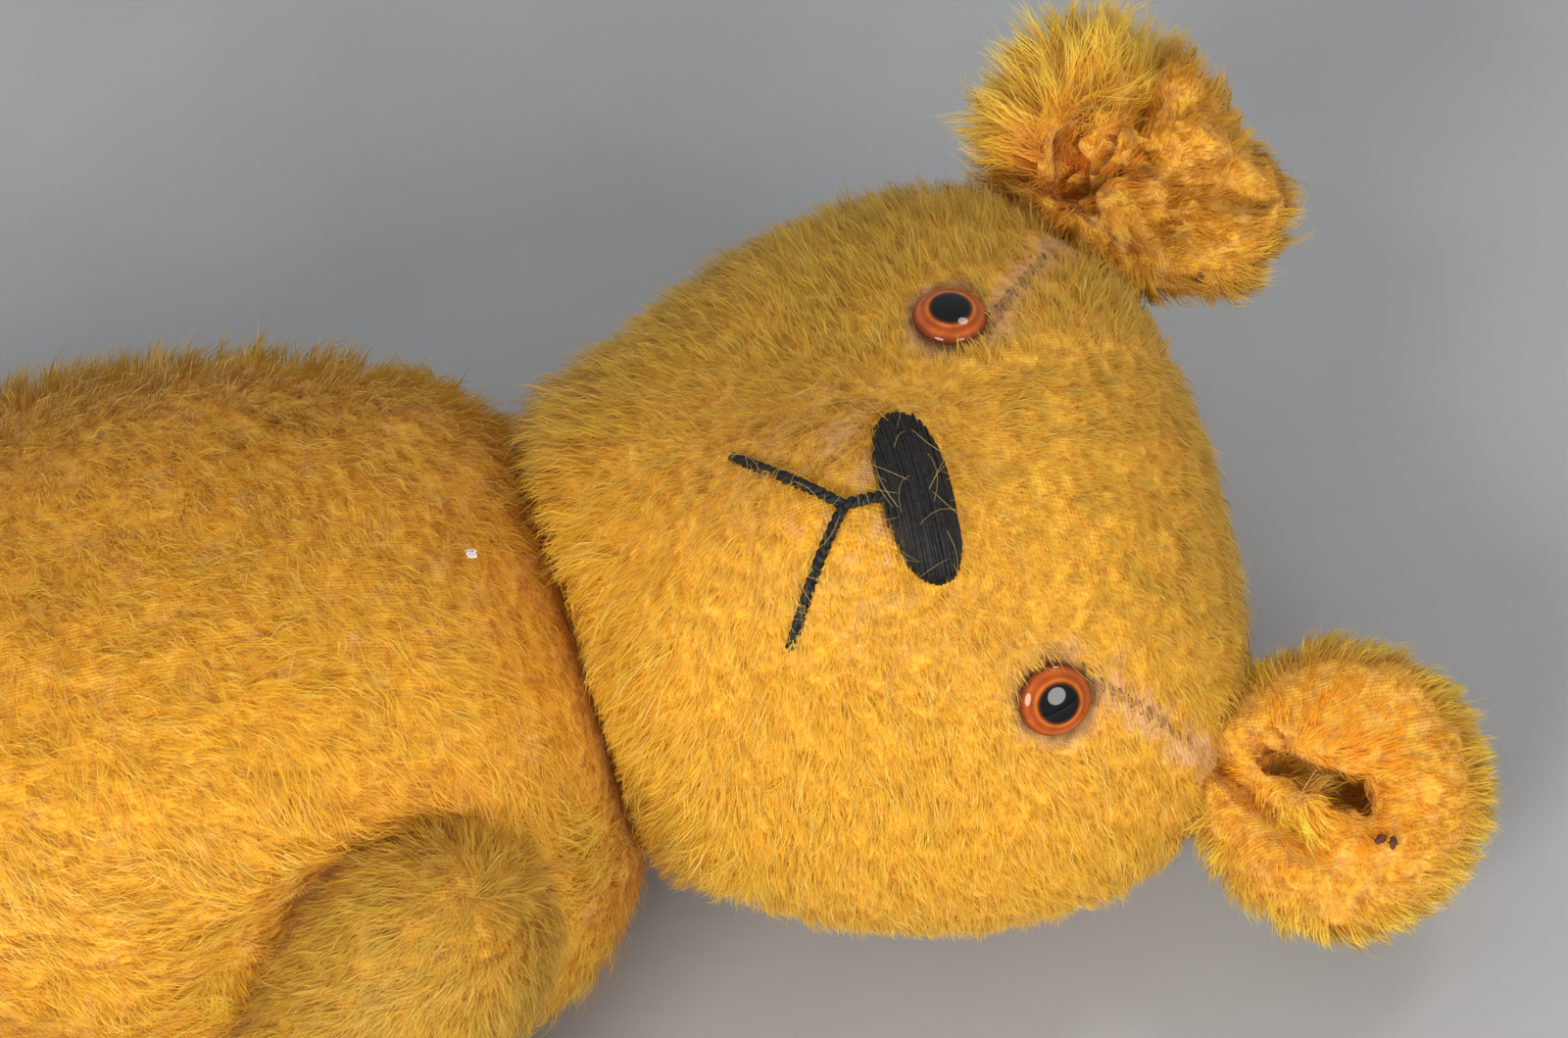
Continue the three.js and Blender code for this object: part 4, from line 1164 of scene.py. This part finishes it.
def lay_pile(name, bag, body, long_count, short_count, trim, style, seed, width=0.17):
    rng_ = np.random.default_rng(seed)
    wisp, gather = style.get("wisp", LONG_WISP), style.get("gather", 0.5)
    root_a, tip_a, normal_a = grow(bag, long_count, wisp, style, rng_, 0.75, 0.2, gather, 1.0)
    root_b, tip_b, normal_b = grow(bag, short_count, SHORT_WISP, style, rng_, 0.95, 0.45, 0.2, 0.72)
    n_long, n_short = len(root_a), len(root_b)
    root, tip = np.vstack([root_a, root_b]), np.vstack([tip_a, tip_b])
    normal = np.vstack([normal_a, normal_b])
    n = len(root)
    corners, flat = hair_corners(root, tip, normal, width, rng_)
    shape = long_then_short(corners, n_long)
    shape = trim(shape, 2.0) if trim else shape
    shape[:, 2] = np.maximum(shape[:, 2], 0.1)
    ribbon = np.arange(n_long)[:, None] * 5
    sliver = n_long * 5 + np.arange(n_short)[:, None] * 3
    ribbon_loops = np.hstack([ribbon + [0, 1, 2, 3], ribbon + [3, 2, 4]]).ravel()
    loops = np.concatenate([ribbon_loops, (sliver + [0, 1, 2]).ravel()])
    ribbon_starts = (np.arange(n_long)[:, None] * 7 + [0, 4]).ravel()
    starts = np.concatenate([ribbon_starts, n_long * 7 + np.arange(n_short) * 3])
    mesh = bpy.data.meshes.new(name)
    mesh.vertices.add(len(shape))
    mesh.vertices.foreach_set("co", (shape * MM).ravel())
    mesh.loops.add(len(loops))
    mesh.loops.foreach_set("vertex_index", loops.astype(np.int32))
    mesh.polygons.add(len(starts))
    mesh.polygons.foreach_set("loop_start", starts.astype(np.int32))
    mesh.update(calc_edges=True)
    # colour from root to tip
    root_colour, tip_colour = style["colour"](root, normal, rng_)
    half_way = root_colour * 0.35 + tip_colour * 0.65
    tint = np.stack([root_colour, root_colour, half_way, half_way, tip_colour], 1)
    tint = long_then_short(tint, n_long)
    tint = np.hstack([np.clip(tint, 0, 1), np.ones((len(tint), 1))]).astype(np.float32)
    painted = mesh.color_attributes.new("pile_colour", "FLOAT_COLOR", "POINT")
    painted.data.foreach_set("color", tint.ravel())
    # each hair has a small cell of its own in the map
    cells = int(np.ceil(np.sqrt(n)))
    cell = np.stack([np.arange(n) % cells, np.arange(n) // cells], 1)[:, None]
    foot, waist, point = [[0.1, 0.08], [0.9, 0.08]], [[0.85, 0.5], [0.15, 0.5]], [[0.5, 0.94]]
    leaf, blade = np.array(foot + waist + waist[::-1] + point), np.array(foot + point)
    long_place, short_place = (cell[:n_long] + leaf) / cells, (cell[n_long:] + blade) / cells
    place = np.concatenate([long_place.ravel(), short_place.ravel()])
    mesh.uv_layers.new(name="OFBake").data.foreach_set("uv", place.astype(np.float32))
    mesh.materials.append(pile)
    # soft shading: each hair faces mostly as the cloth under it does
    soft = unit(0.7 * normal + 0.3 * flat)
    facing = np.vstack([np.repeat(soft[:n_long], 5, axis=0), np.repeat(soft[n_long:], 3, axis=0)])
    mesh.normals_split_custom_set_from_vertices(facing)
    obj = bpy.data.objects.new(name, mesh)
    bpy.context.scene.collection.objects.link(obj)
    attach(obj, body)
    print(name, "has", n_long, "long and", n_short, "short hairs,", n_long * 3 + n_short, "triangles")


print("one long and one short hair have", len(long_then_short(np.zeros((2, 5, 3)), 1)), "points")

# %% [markdown]
# First the head. The hair lies outwards from the nose and towards the bear's left, and
# over the neck at the chin. It is short and thin on the muzzle and forehead, longer on
# the cheeks, and worn off along the seams and round the eyes. A style is five small rules
# for each place: lie, length, lift, share kept and colour. The front and the back of the
# head are two pieces, so that the back can have fewer, broader hairs.
# %% Pile of the head
def head_lie(w, n_):
    p = world_to_head(w)
    way = unit(p - np.array([64.0, 0.0, 60.0])) * 0.8
    way = way + np.where(p[:, 1:2] < 25, np.array([[0.0, -0.8, 0.0]]), np.array([[-0.55, 0.1, 0.0]]))
    way = way + np.array([-1.6, 0, 0]) * (1 - smoothstep(4, 26, p[:, :1]))
    way = way + patches(w, 30, 61)[:, None] * np.array([0.3, 0.15, 0])
    return head_to_world(way, point=False)


def head_length(w, n_):
    p = world_to_head(w)
    near = np.exp(-((p[:, 1] / 38) ** 2) - ((p[:, 0] - 70) / 38) ** 2) * (p[:, 2] > 20)
    chin = 1 - smoothstep(6, 26, p[:, 0])
    far = smoothstep(20, 60, p[:, 1])
    return 5.2 - 2.5 * near + 4.2 * chin + 1.0 * far + 0.5 * patches(w, 22, 62)


def head_lift(w, n_):
    p = world_to_head(w)
    return 0.40 + 0.10 * patches(w, 14, 63) + 0.25 * smoothstep(25, 60, p[:, 1])


def head_keep(w, n_):
    bare_, _ = head_wear(w)
    p = world_to_head(w)
    eye_gap = np.hypot(p[:, 0] - EYE["up"], np.abs(p[:, 1]) - EYE["side"])
    inside_eye = (p[:, 2] > 10) & (eye_gap < EYE["radius"] + 0.2)
    across = (p[:, 1] - NOSE["side"]) / (NOSE["half_width"] + 0.5)
    along_ = (p[:, 0] - NOSE["up"]) / (NOSE["half_height"] + 0.5)
    inside_nose = (p[:, 2] > 20) & (along_**2 + across**2 < 1)
    hidden = inside_eye | inside_nose | (p[:, 0] < 0.6)
    return np.where(hidden, 0, (1 - 0.9 * bare_) * (1 - 0.65 * flecks(w)))


def head_colour(w, n_, rng_):
    p = world_to_head(w)
    # painted shade: olive towards the far side and the crown, and on the forehead; the deep orange at the
    # chin is painted shade of the neck crease
    shade = 0.5 * smoothstep(-5, 60, p[:, 1] + 0.25 * (p[:, 0] - 60))
    brow = 0.42 * smoothstep(74, 98, p[:, 0]) * smoothstep(-52, -18, p[:, 1])
    return golden(w, rng_, np.maximum(shade, brow), 0.2 * (1 - smoothstep(3, 15, p[:, 0])))


def face_side(w, n_):
    return np.where(world_to_head(w)[:, 2] > -8, 1.0, 0.02)


def rear_side(w, n_):
    return np.where(world_to_head(w)[:, 2] > -8, 0.02, 1.0)


head_style = dict(lie=head_lie, length=head_length, lift=head_lift, keep=head_keep, colour=head_colour)
front = head_style | dict(weight=face_side)
rear = head_style | dict(weight=rear_side)
lay_pile("head_pile_front", head, "head", 50000, 92000, trim_head, front, 101)
lay_pile("head_pile_back", head, "head", 15000, 16000, trim_head, rear, 102, 0.32)


# %% [markdown]
# The torso's pile is longer and lies in clear wisps across the chest, towards the bear's
# left shoulder. It is longer on the bulge by the left shoulder, where it is painted light,
# and it has painted shade: olive towards the far side, and deep orange in the crease at the
# neck and round the left shoulder's dish. The seat and the back get fewer, broader hairs.
# %% Pile of the torso
def torso_lie(w, n_):
    way = np.tile([0.62, -0.78, 0.0], (len(w), 1))
    under = (1 - smoothstep(20, 50, w[:, 2]))[:, None]
    way = way * (1 - under) + np.array([-1.0, 0, 0]) * under
    return way + patches(w, 26, 81)[:, None] * np.array([0.25, 0.2, 0.2])


def by_shoulder(w):
    """One on the bulge between the left shoulder and the neck, where the pile is longer and painted light.
    """
    bulge = smoothstep(72, 84, w[:, 0]) * (1 - smoothstep(-50, -40, w[:, 1]))
    return bulge * smoothstep(10, 30, w[:, 2])


def torso_length(w, n_):
    far = 1.6 * smoothstep(25, 60, w[:, 1])
    longer_on_bulge = 1.5 * by_shoulder(w)
    return 7.0 + far + longer_on_bulge + 0.8 * patches(w, 20, 82) - 3.8 * smoothstep(86, 99, w[:, 0])


def torso_lift(w, n_):
    return 0.42 + 0.10 * patches(w, 12, 83) + 0.45 * smoothstep(25, 60, w[:, 1])


def torso_keep(w, n_):
    keep_ = 1 - 0.8 * flecks(w)
    for joint, side_ in TORSO_JOINTS:
        reach = np.hypot(w[:, 0] - joint["x"], w[:, 2] - joint["z"])
        keep_ = np.where((side_ * w[:, 1] > joint["y"] - 3) & (reach < joint["flat"] + 1), 0, keep_)
    keep_ = np.where(w[:, 0] > NECK_X - 0.8, 0, keep_)
    return np.where((w[:, 2] < 1.6) & (n_[:, 2] < -0.8), 0.25 * keep_, keep_)


def torso_colour(w, n_, rng_):
    reach = np.hypot(w[:, 0] - SHOULDER["x"], w[:, 2] - SHOULDER["z"])
    # painted shade: deep orange round the left shoulder's dish and in the neck crease, olive towards the
    # far side
    dish = (w[:, 1] < -45) * hump(reach - 24, 9)
    deep = np.maximum(0.45 * dish, 0.5 * smoothstep(72, 98, w[:, 0]) * smoothstep(-56, -24, w[:, 1]))
    root_, tip_ = golden(w, rng_, 0.45 * smoothstep(0, 60, w[:, 1]), deep)
    # painted light on the bulge by the left shoulder: lighter roots and a lit tip colour
    lit = by_shoulder(w)[:, None]
    return root_ * (1 + 0.15 * lit), tip_ * (1 - 0.8 * lit) + LIT_TIP * 0.8 * lit


def upward(n_):
    """True where the cloth faces up, or towards the bear's left."""
    return n_ @ np.array([0.0, -0.65, 0.76]) > -0.2


def chest_side(w, n_):
    return np.where(upward(n_), np.where(w[:, 0] > -60, 1.0, 0.5), 0.0)


def seat_side(w, n_):
    return np.where(upward(n_), 0.0, np.where(w[:, 2] < 2, 0.3, 1.0))


torso_style = dict(
    lie=torso_lie, length=torso_length, lift=torso_lift, keep=torso_keep, colour=torso_colour
)
chest = torso_style | dict(weight=chest_side)
seat = torso_style | dict(weight=seat_side)
lay_pile("torso_pile_front", torso, "torso", 50000, 84000, trim_torso, chest, 111, 0.18)
lay_pile("torso_pile_back", torso, "torso", 16000, 18000, trim_torso, seat, 112, 0.37)


# %% [markdown]
# The limbs' pile lies along the limb, towards the paw or the foot, and stands up in a
# fringe round each joint. There is none on the joint's face or under the felt pads. All
# four share one style, which is made for a joint and its side of the bear.
# %% Pile of the limbs
FRINGE_REACH = 34  # how far from the joint's pin the fringe can stand


def limb_style(joint, side_, turn, pad):
    def local(w):
        p = world_to_limb(w, joint, side_, turn)
        reach = np.hypot(p[:, 0], p[:, 2])
        return p, reach, p[:, 1] - cone(joint, reach)

    def lie(w, n_):
        p, reach, _ = local(w)
        way = np.tile([-1.0, 0.15, 0.25], (len(w), 1))
        round_ = np.stack([p[:, 0], np.zeros(len(p)), p[:, 2]], 1)
        cap = (1 - smoothstep(10, 30, reach))[:, None]
        way = way + unit(round_) * cap * 0.35 * smoothstep(4, 14, reach)[:, None]
        way = way + patches(w, 20, 91)[:, None] * np.array([0.2, 0.3, 0.3])
        return limb_to_world(way, joint, side_, turn, point=False)

    def length(w, n_):
        _, reach, gap = local(w)
        return 5.4 + 0.6 * patches(w, 18, 92) + 2.5 * hump(gap, 5) * (reach < FRINGE_REACH)

    def lift(w, n_):
        _, reach, gap = local(w)
        return 0.42 + 0.1 * patches(w, 12, 93) + 0.4 * hump(gap, 5) * (reach < FRINGE_REACH)

    def keep(w, n_):
        p, reach, gap = local(w)
        inner = (gap < 1.0) & (reach < joint["flat"] + 1)
        return np.where(inner | pad(p), 0, 1 - 0.3 * flecks(w))

    def colour(w, n_, rng_):
        # deep orange at the joint, in the crease against the body, is painted shade
        near = hump(local(w)[2], 6)
        shade = 0.2 if joint is HIP else 0.55  # the arms are darker and more olive than the legs
        return golden(w, rng_, shade * (1 - near), 0.3 * near)

    def weight(w, n_):
        return np.where(upward(n_) | (side_ > 0), 1.0, 0.3)

    return dict(lie=lie, length=length, lift=lift, keep=keep, colour=colour, weight=weight)


def on_paw_pad(p):
    at_ = ((p[:, 0] + 88) / 19) ** 2 + ((p[:, 2] - 17.2) / 13) ** 2
    return (at_ < 1) & (p[:, 1] < cone(SHOULDER, np.hypot(p[:, 0], p[:, 2])) + 4)


def on_foot_pad(p):
    at_ = ((p[:, 1] - FOOT_AXIS) / 16.5) ** 2 + ((p[:, 2] - FOOT["forward"]) / 34) ** 2
    return (at_ < 1) & (p[:, 0] < -FOOT["sole"] + 3)


near_arm = limb_style(SHOULDER, -1, ARM_ANGLE, on_paw_pad)
far_arm = limb_style(RIGHT_SHOULDER, 1, RIGHT_ARM_ANGLE, on_paw_pad)
near_leg = limb_style(HIP, -1, LEG_ANGLE, on_foot_pad)
far_leg = limb_style(HIP, 1, LEG_ANGLE, on_foot_pad)
for name, bag, counts, trim_bag, style, seed, width in (
    ("arm_left", arm_left, (22000, 31000), trim_arm_left, near_arm, 121, 0.2),
    ("arm_right", arm_right, (10000, 13000), trim_arm_right, far_arm, 122, 0.31),
    ("leg_left", leg_left, (13000, 19000), trim_leg_left, near_leg, 123, 0.36),
    ("leg_right", leg_right, (13000, 19000), trim_leg_right, far_leg, 124, 0.36),
):
    lay_pile(name + "_pile", bag, name, *counts, trim_bag, style, seed, width)


# %% [markdown]
# The ears keep a long fringe round the rim, and their insides are matted and orange. A
# tuft still stands in the left one's hollow. On the crushed one the raised lobe has long
# locks, and the fold below it is stained russet. The rims, the lobe and the tuft are
# painted light, and so is the left ear's hollow.
# %% Pile of the ears
def ear_style(ear, side_):
    def local(w):
        p = world_to_head(w)
        return p, np.stack([p[:, 0] - ear["up"], side_ * p[:, 1] - ear["side"]], 1)

    def inside(w, n_):
        _, q = local(w)
        facing = smoothstep(0.1, 0.6, world_to_head(n_, point=False)[:, 2])
        return facing * (1 - smoothstep(14, 25, np.linalg.norm(q, axis=1)))

    def stain(w):
        """One where the crushed ear's pile is matted and deepest orange."""
        _, q = local(w)
        spot = np.exp(-(((q[:, 0] + 11) / 10) ** 2) - ((q[:, 1] - 0.5) / 7) ** 2)
        return spot if side_ > 0 else np.zeros(len(w))

    def outer(w, n_):
        """One on the outer edge of the ear, and on the raised lobe of the crushed one."""
        _, q = local(w)
        out_ = unit(np.stack([q[:, 0] + 6, q[:, 1] + 4], 1))
        facing = world_to_head(n_, point=False) * np.array([1.0, side_, 1.0])
        edge = smoothstep(0.35, 0.85, (facing[:, :2] * out_).sum(1))
        edge = edge * smoothstep(12, 22, np.linalg.norm(q, axis=1))
        if side_ < 0:
            return edge
        lobe = smoothstep(2, 16, q[:, 1] - 0.7 * q[:, 0]) * (1 - 0.7 * stain(w))
        return np.maximum(0.55 * edge, lobe)

    def tuft(w):
        """One where long locks still stand: at the head's end of the left ear's hollow."""
        _, q = local(w)
        lock = np.exp(-(((q[:, 0] + 9) / 5) ** 2) - ((q[:, 1] - 1) / 8) ** 2)
        return lock * (0.75 + 0.5 * patches(w, 4, 134)) if side_ < 0 else np.zeros(len(w))

    def lie(w, n_):
        _, q = local(w)
        out_ = unit(np.stack([q[:, 0] + 8, side_ * (q[:, 1] + 5), np.zeros(len(q))], 1))
        out_ = out_ + patches(w, 10, 131)[:, None] * np.array([0.3, 0.3, 0.3]) * (1.0 if side_ > 0 else 0.5)
        lock = np.clip(tuft(w), 0, 1)[:, None]
        out_ = out_ * (1 - lock) + np.array([0.7, side_ * 0.8, 0.5]) * lock
        return head_to_world(out_, point=False)

    def length(w, n_):
        if side_ < 0:
            lip = 1 - smoothstep(9, 17, np.linalg.norm(local(w)[1], axis=1))
            longer = 2.1 + 3.6 * outer(w, n_) + 2.2 * lip + 0.2 * patches(w, 8, 132)
            return longer + 5.0 * np.clip(tuft(w), 0, 1)
        return 2.8 + 7.4 * outer(w, n_) + 0.4 * patches(w, 8, 132) + 1.5 * inside(w, n_)

    def lift(w, n_):
        return 0.22 + 0.10 * patches(w, 7, 133) + 0.36 * outer(w, n_) + 0.7 * np.clip(tuft(w), 0, 1)

    def keep(w, n_):
        bare_, _ = ear_wear(w)
        return 1 - (0.5 if side_ < 0 else 0.2) * bare_ * (1 - outer(w, n_))

    def colour(w, n_, rng_):
        _, q = local(w)
        by_head = 1 - smoothstep(-22, -8, q[:, 0] + (0.5 * q[:, 1] if side_ > 0 else 0))
        matted = 0.6 * (1 - outer(w, n_)) + 0.3 * inside(w, n_) + 0.35 * by_head + 0.6 * stain(w)
        # painted light on the rim, the raised lobe and the tuft: less orange, a lit tip colour and lighter
        # hairs
        painted_light = np.clip(outer(w, n_) + tuft(w), 0, 1)[:, None]
        root_, tip_ = golden(w, rng_, 0.0, np.clip(matted * (1 - painted_light[:, 0]), 0, 0.9))
        red = 0.75 * stain(w)[:, None]
        # brightness of the hairs: darker in general, with painted light on the rim, lobe and tuft and in
        # the left ear's hollow
        dull = 0.76 + 0.32 * painted_light + (0.4 * inside(w, n_)[:, None] if side_ < 0 else 0)
        tip_ = (tip_ * (1 - 0.5 * painted_light) + LIT_TIP * 0.5 * painted_light) * (1 - red) + RUSSET * red
        return (root_ * dull) * (1 - red) + RUSSET * 0.9 * red, tip_ * dull

    def weight(w, n_):
        return np.ones(len(w))

    locks = dict(gather=0.62, wisp=14 if side_ > 0 else 8, stray=0.3 if side_ > 0 else 0.15)
    return dict(lie=lie, length=length, lift=lift, keep=keep, colour=colour, weight=weight, **locks)


lay_pile("ear_left_pile", ear_left, "head", 10000, 12000, None, ear_style(LEFT_EAR, -1), 141, 0.21)
lay_pile("ear_right_pile", ear_right, "head", 10000, 12000, None, ear_style(RIGHT_EAR, 1), 142, 0.21)

# %% [markdown]
# The two seams of the head's gusset are closed by small brown stitches, which show where
# the pile is gone. A bump map could hint at them, but they catch the light, so each one
# is a short thread that bows over the seam and dives into the cloth at both ends.
# %% Seam stitches
STITCH_RADIUS = 0.14
rng = np.random.default_rng(33)
t = np.linspace(-1, 1, 7)
stitch_paths = []
for side_ in (-1, 1):
    for step in np.linspace(0.02, 0.86, 13):
        middle_ = SEAM_START + (SEAM_END - SEAM_START) * step + rng.normal(size=2) * 0.15
        cross_ = np.array([-0.62, 0.78]) * 1.4 * rng.uniform(0.6, 1.1)
        at_ = middle_ + t[:, None] * cross_ + np.array([0.5, 0.5]) * t[:, None]
        place, _ = face_point(at_[:, 0], side_ * at_[:, 1], 0.9 - 1.3 * t**4)
        stitch_paths.append(place)
brown, tree, shader = finish_of("brown_thread", (0.25, 0.13, 0.05), 0.8, specular=0.2)
mottle(tree, shader, 800, 3, 0.55, [(0.35, (0.16, 0.075, 0.03)), (0.7, (0.36, 0.20, 0.09))])
stitch_radii = np.full((len(stitch_paths), len(t)), STITCH_RADIUS)
seams = tubes("gusset_seam_stitches", head_to_world(np.array(stitch_paths)), stitch_radii, 6, brown)
print("stitches:", len(stitch_paths))

# %% [markdown]
# Long stray hairs cross the muzzle, over the nose and the mouth, and catch the light. The
# pile's ribbons would be too stiff for them, so they are thin bowed tubes.
# %% Stray hairs
STRAY_HAIRS = 150
stray_paths = []
for _ in range(STRAY_HAIRS):
    start = np.array([rng.uniform(38, 84), rng.uniform(-28, 28)])
    way = np.array([rng.normal(), rng.normal() - 0.8])
    way = way / np.linalg.norm(way) * rng.uniform(7, 15)
    bend = np.array([-way[1], way[0]]) * rng.normal() * 0.2
    t = np.linspace(0, 1, 8)[:, None]
    at_ = start + way * t + bend * np.sin(np.pi * t)
    off_face = 0.1 + rng.uniform(1.6, 3.4) * np.sin(np.pi * (0.1 + 0.8 * t[:, 0]))
    place, _ = face_point(at_[:, 0], at_[:, 1], off_face)
    stray_paths.append(place)
thin = np.tile(np.interp(np.linspace(0, 1, 8), [0, 1], [0.05, 0.025]), (STRAY_HAIRS, 1))
strays = tubes("face_stray_hairs", head_to_world(np.array(stray_paths)), thin, 3, pile)
pale = np.tile([0.86, 0.62, 0.18, 1.0], (len(strays.data.vertices), 1)).astype(np.float32)
painted = strays.data.color_attributes.new("pile_colour", "FLOAT_COLOR", "POINT")
painted.data.foreach_set("color", pale.ravel())
print("stray hairs:", len(stray_paths))


# %% [markdown]
# A scrap of white lint clings to the chest, and three dark specks sit on the ears. Both
# are tiny, so the lint is a tangle of fibres and each speck a short thick one.
# %% Lint and specks
def outermost(bag, up_, side_):
    """The foremost point of a bag on the head near this place."""
    p = world_to_head(coordinates(bag) / MM)
    near = np.hypot(p[:, 0] - up_, p[:, 1] - side_) < 2
    best = np.flatnonzero(near)[p[near, 2].argmax()]
    return p[best]


white, tree, shader = finish_of("white_lint", (0.85, 0.84, 0.82), 0.8, specular=0.2)
mottle(tree, shader, 500, 3, 0.55, [(0.3, (0.70, 0.69, 0.68)), (0.7, (0.92, 0.91, 0.90))])
LINT_AT, LINT_FIBRES, LINT_RADIUS = np.array([86.3, -12.0, 113.0]), 16, 0.07
t = np.linspace(0, 1, 9)
lint_paths = []
for _ in range(LINT_FIBRES):
    phase, size = rng.uniform(0, 6.28, 3), rng.uniform(0.3, 1.1, 3)
    curl = np.stack([size[i] * np.sin(phase[i] + 4 * t * size[i]) for i in range(3)], 1)
    lint_paths.append(LINT_AT + curl)
lint = tubes("chest_lint", np.array(lint_paths), np.full((LINT_FIBRES, 9), LINT_RADIUS), 3, white)

speck, tree, shader = finish_of("dark_speck", (0.10, 0.02, 0.015), 0.6, specular=0.3)
mottle(tree, shader, 900, 3, 0.55, [(0.35, (0.06, 0.012, 0.012)), (0.7, (0.16, 0.035, 0.022))])
t = np.linspace(-1, 1, 7)
speck_paths, speck_radii = [], []
for bag, up_, across, turn in (
    (ear_left, 133.0, -73.0, 0.4),
    (ear_left, 134.5, -76.0, 1.2),
    (ear_right, 130.0, 38.0, 0.9),
):
    at_ = outermost(bag, up_, across) + np.array([0, 0, 1.1])
    speck_paths.append(at_ + t[:, None] * np.array([np.cos(turn), np.sin(turn), 0.2]) * 1.3)
    speck_radii.append(0.75 * np.sqrt(1.02 - t**2) * (1 + 0.2 * rng.normal(size=7)))
specks = tubes("ear_specks", head_to_world(np.array(speck_paths)), np.array(speck_radii), 8, speck)
for obj, body in ((seams, "head"), (strays, "head"), (lint, "torso"), (specks, "head")):
    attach(obj, body)
print("fibres of lint:", len(lint_paths), "specks:", len(speck_paths))

# %% [markdown]
# Every bag stands for its packed cover and rides on the right body. Wood wool is packed
# hard, so the limbs and the head are nearly full.
# %% Bags on their bodies
for obj, body, cad, fill in (
    (torso, "torso", "torso_cover", 0.9),
    (head, "head", "head_cover", 0.95),
    (ear_left, "head", "ear_left", 0.2),
    (ear_right, "head", "ear_right", 0.1),
    (arm_left, "arm_left", "arm_left_cover", 0.85),
    (arm_right, "arm_right", "arm_right_cover", 0.85),
    (leg_left, "leg_left", "leg_left_cover", 0.9),
    (leg_right, "leg_right", "leg_right_cover", 0.9),
):
    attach(obj, body)
    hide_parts(cad)
    print(obj.name, "rides on", body, "and stands for", cad)

# %% [markdown]
# The bear lies on a plain pale table under soft light. A broad window stands beyond its
# feet on the camera's side, a weaker lamp fills in from the head's end, a faint one hangs
# high behind, and an even grey room surrounds it all. A picture of a room could light it
# too, but three lights are easy to move until the shadows fall right.
# %% Table and light
bpy.ops.object.select_all(action="DESELECT")
bpy.ops.mesh.primitive_plane_add(size=8, location=(0, 0, 0))
table = bpy.context.active_object
table.name = "table_top"
paint, tree, shader = finish_of("pale_table", (0.34, 0.34, 0.34), 0.95, specular=0.05)
mottle(tree, shader, 14, 6, 0.6, [(0.3, (0.335, 0.336, 0.337)), (0.7, (0.365, 0.365, 0.365))])
table.data.materials.append(paint)


def area_light(name, place, target, size, power, colour):
    data = bpy.data.lights.new(name, "AREA")
    data.shape, data.size, data.energy, data.color = "DISK", size, power, colour
    obj = bpy.data.objects.new(name, data)
    bpy.context.scene.collection.objects.link(obj)
    place, target = Vector(place), Vector(target)
    towards = (place - target).to_track_quat("Z", "Y").to_matrix().to_4x4()
    obj.matrix_world = Matrix.Translation(place) @ towards
    print(name, "light of", power, "watts,", round((place - target).length, 2), "m away")


area_light("window", (-0.66, -1.14, 0.80), (0.05, 0, 0.05), 0.7, 21, (1.0, 0.97, 0.93))
area_light("lamp", (0.66, -1.08, 0.42), (0.1, -0.08, 0.05), 0.5, 8, (1.0, 0.98, 0.95))
area_light("sky", (1.3, 0.5, 1.7), (0.1, 0, 0.05), 0.5, 8, (0.95, 0.97, 1.0))
world = bpy.data.worlds.new("room")
world.use_nodes = True
world.node_tree.nodes["Background"].inputs["Color"].default_value = (0.90, 0.93, 0.97, 1)
world.node_tree.nodes["Background"].inputs["Strength"].default_value = 0.62
bpy.context.scene.world = world
bpy.context.scene.view_settings.view_transform = "Standard"


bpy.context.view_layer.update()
total = 0
for obj in bpy.data.objects:
    if obj.type == "MESH":
        obj.data.calc_loop_triangles()
        total += len(obj.data.loop_triangles)
print("triangles in all:", total)
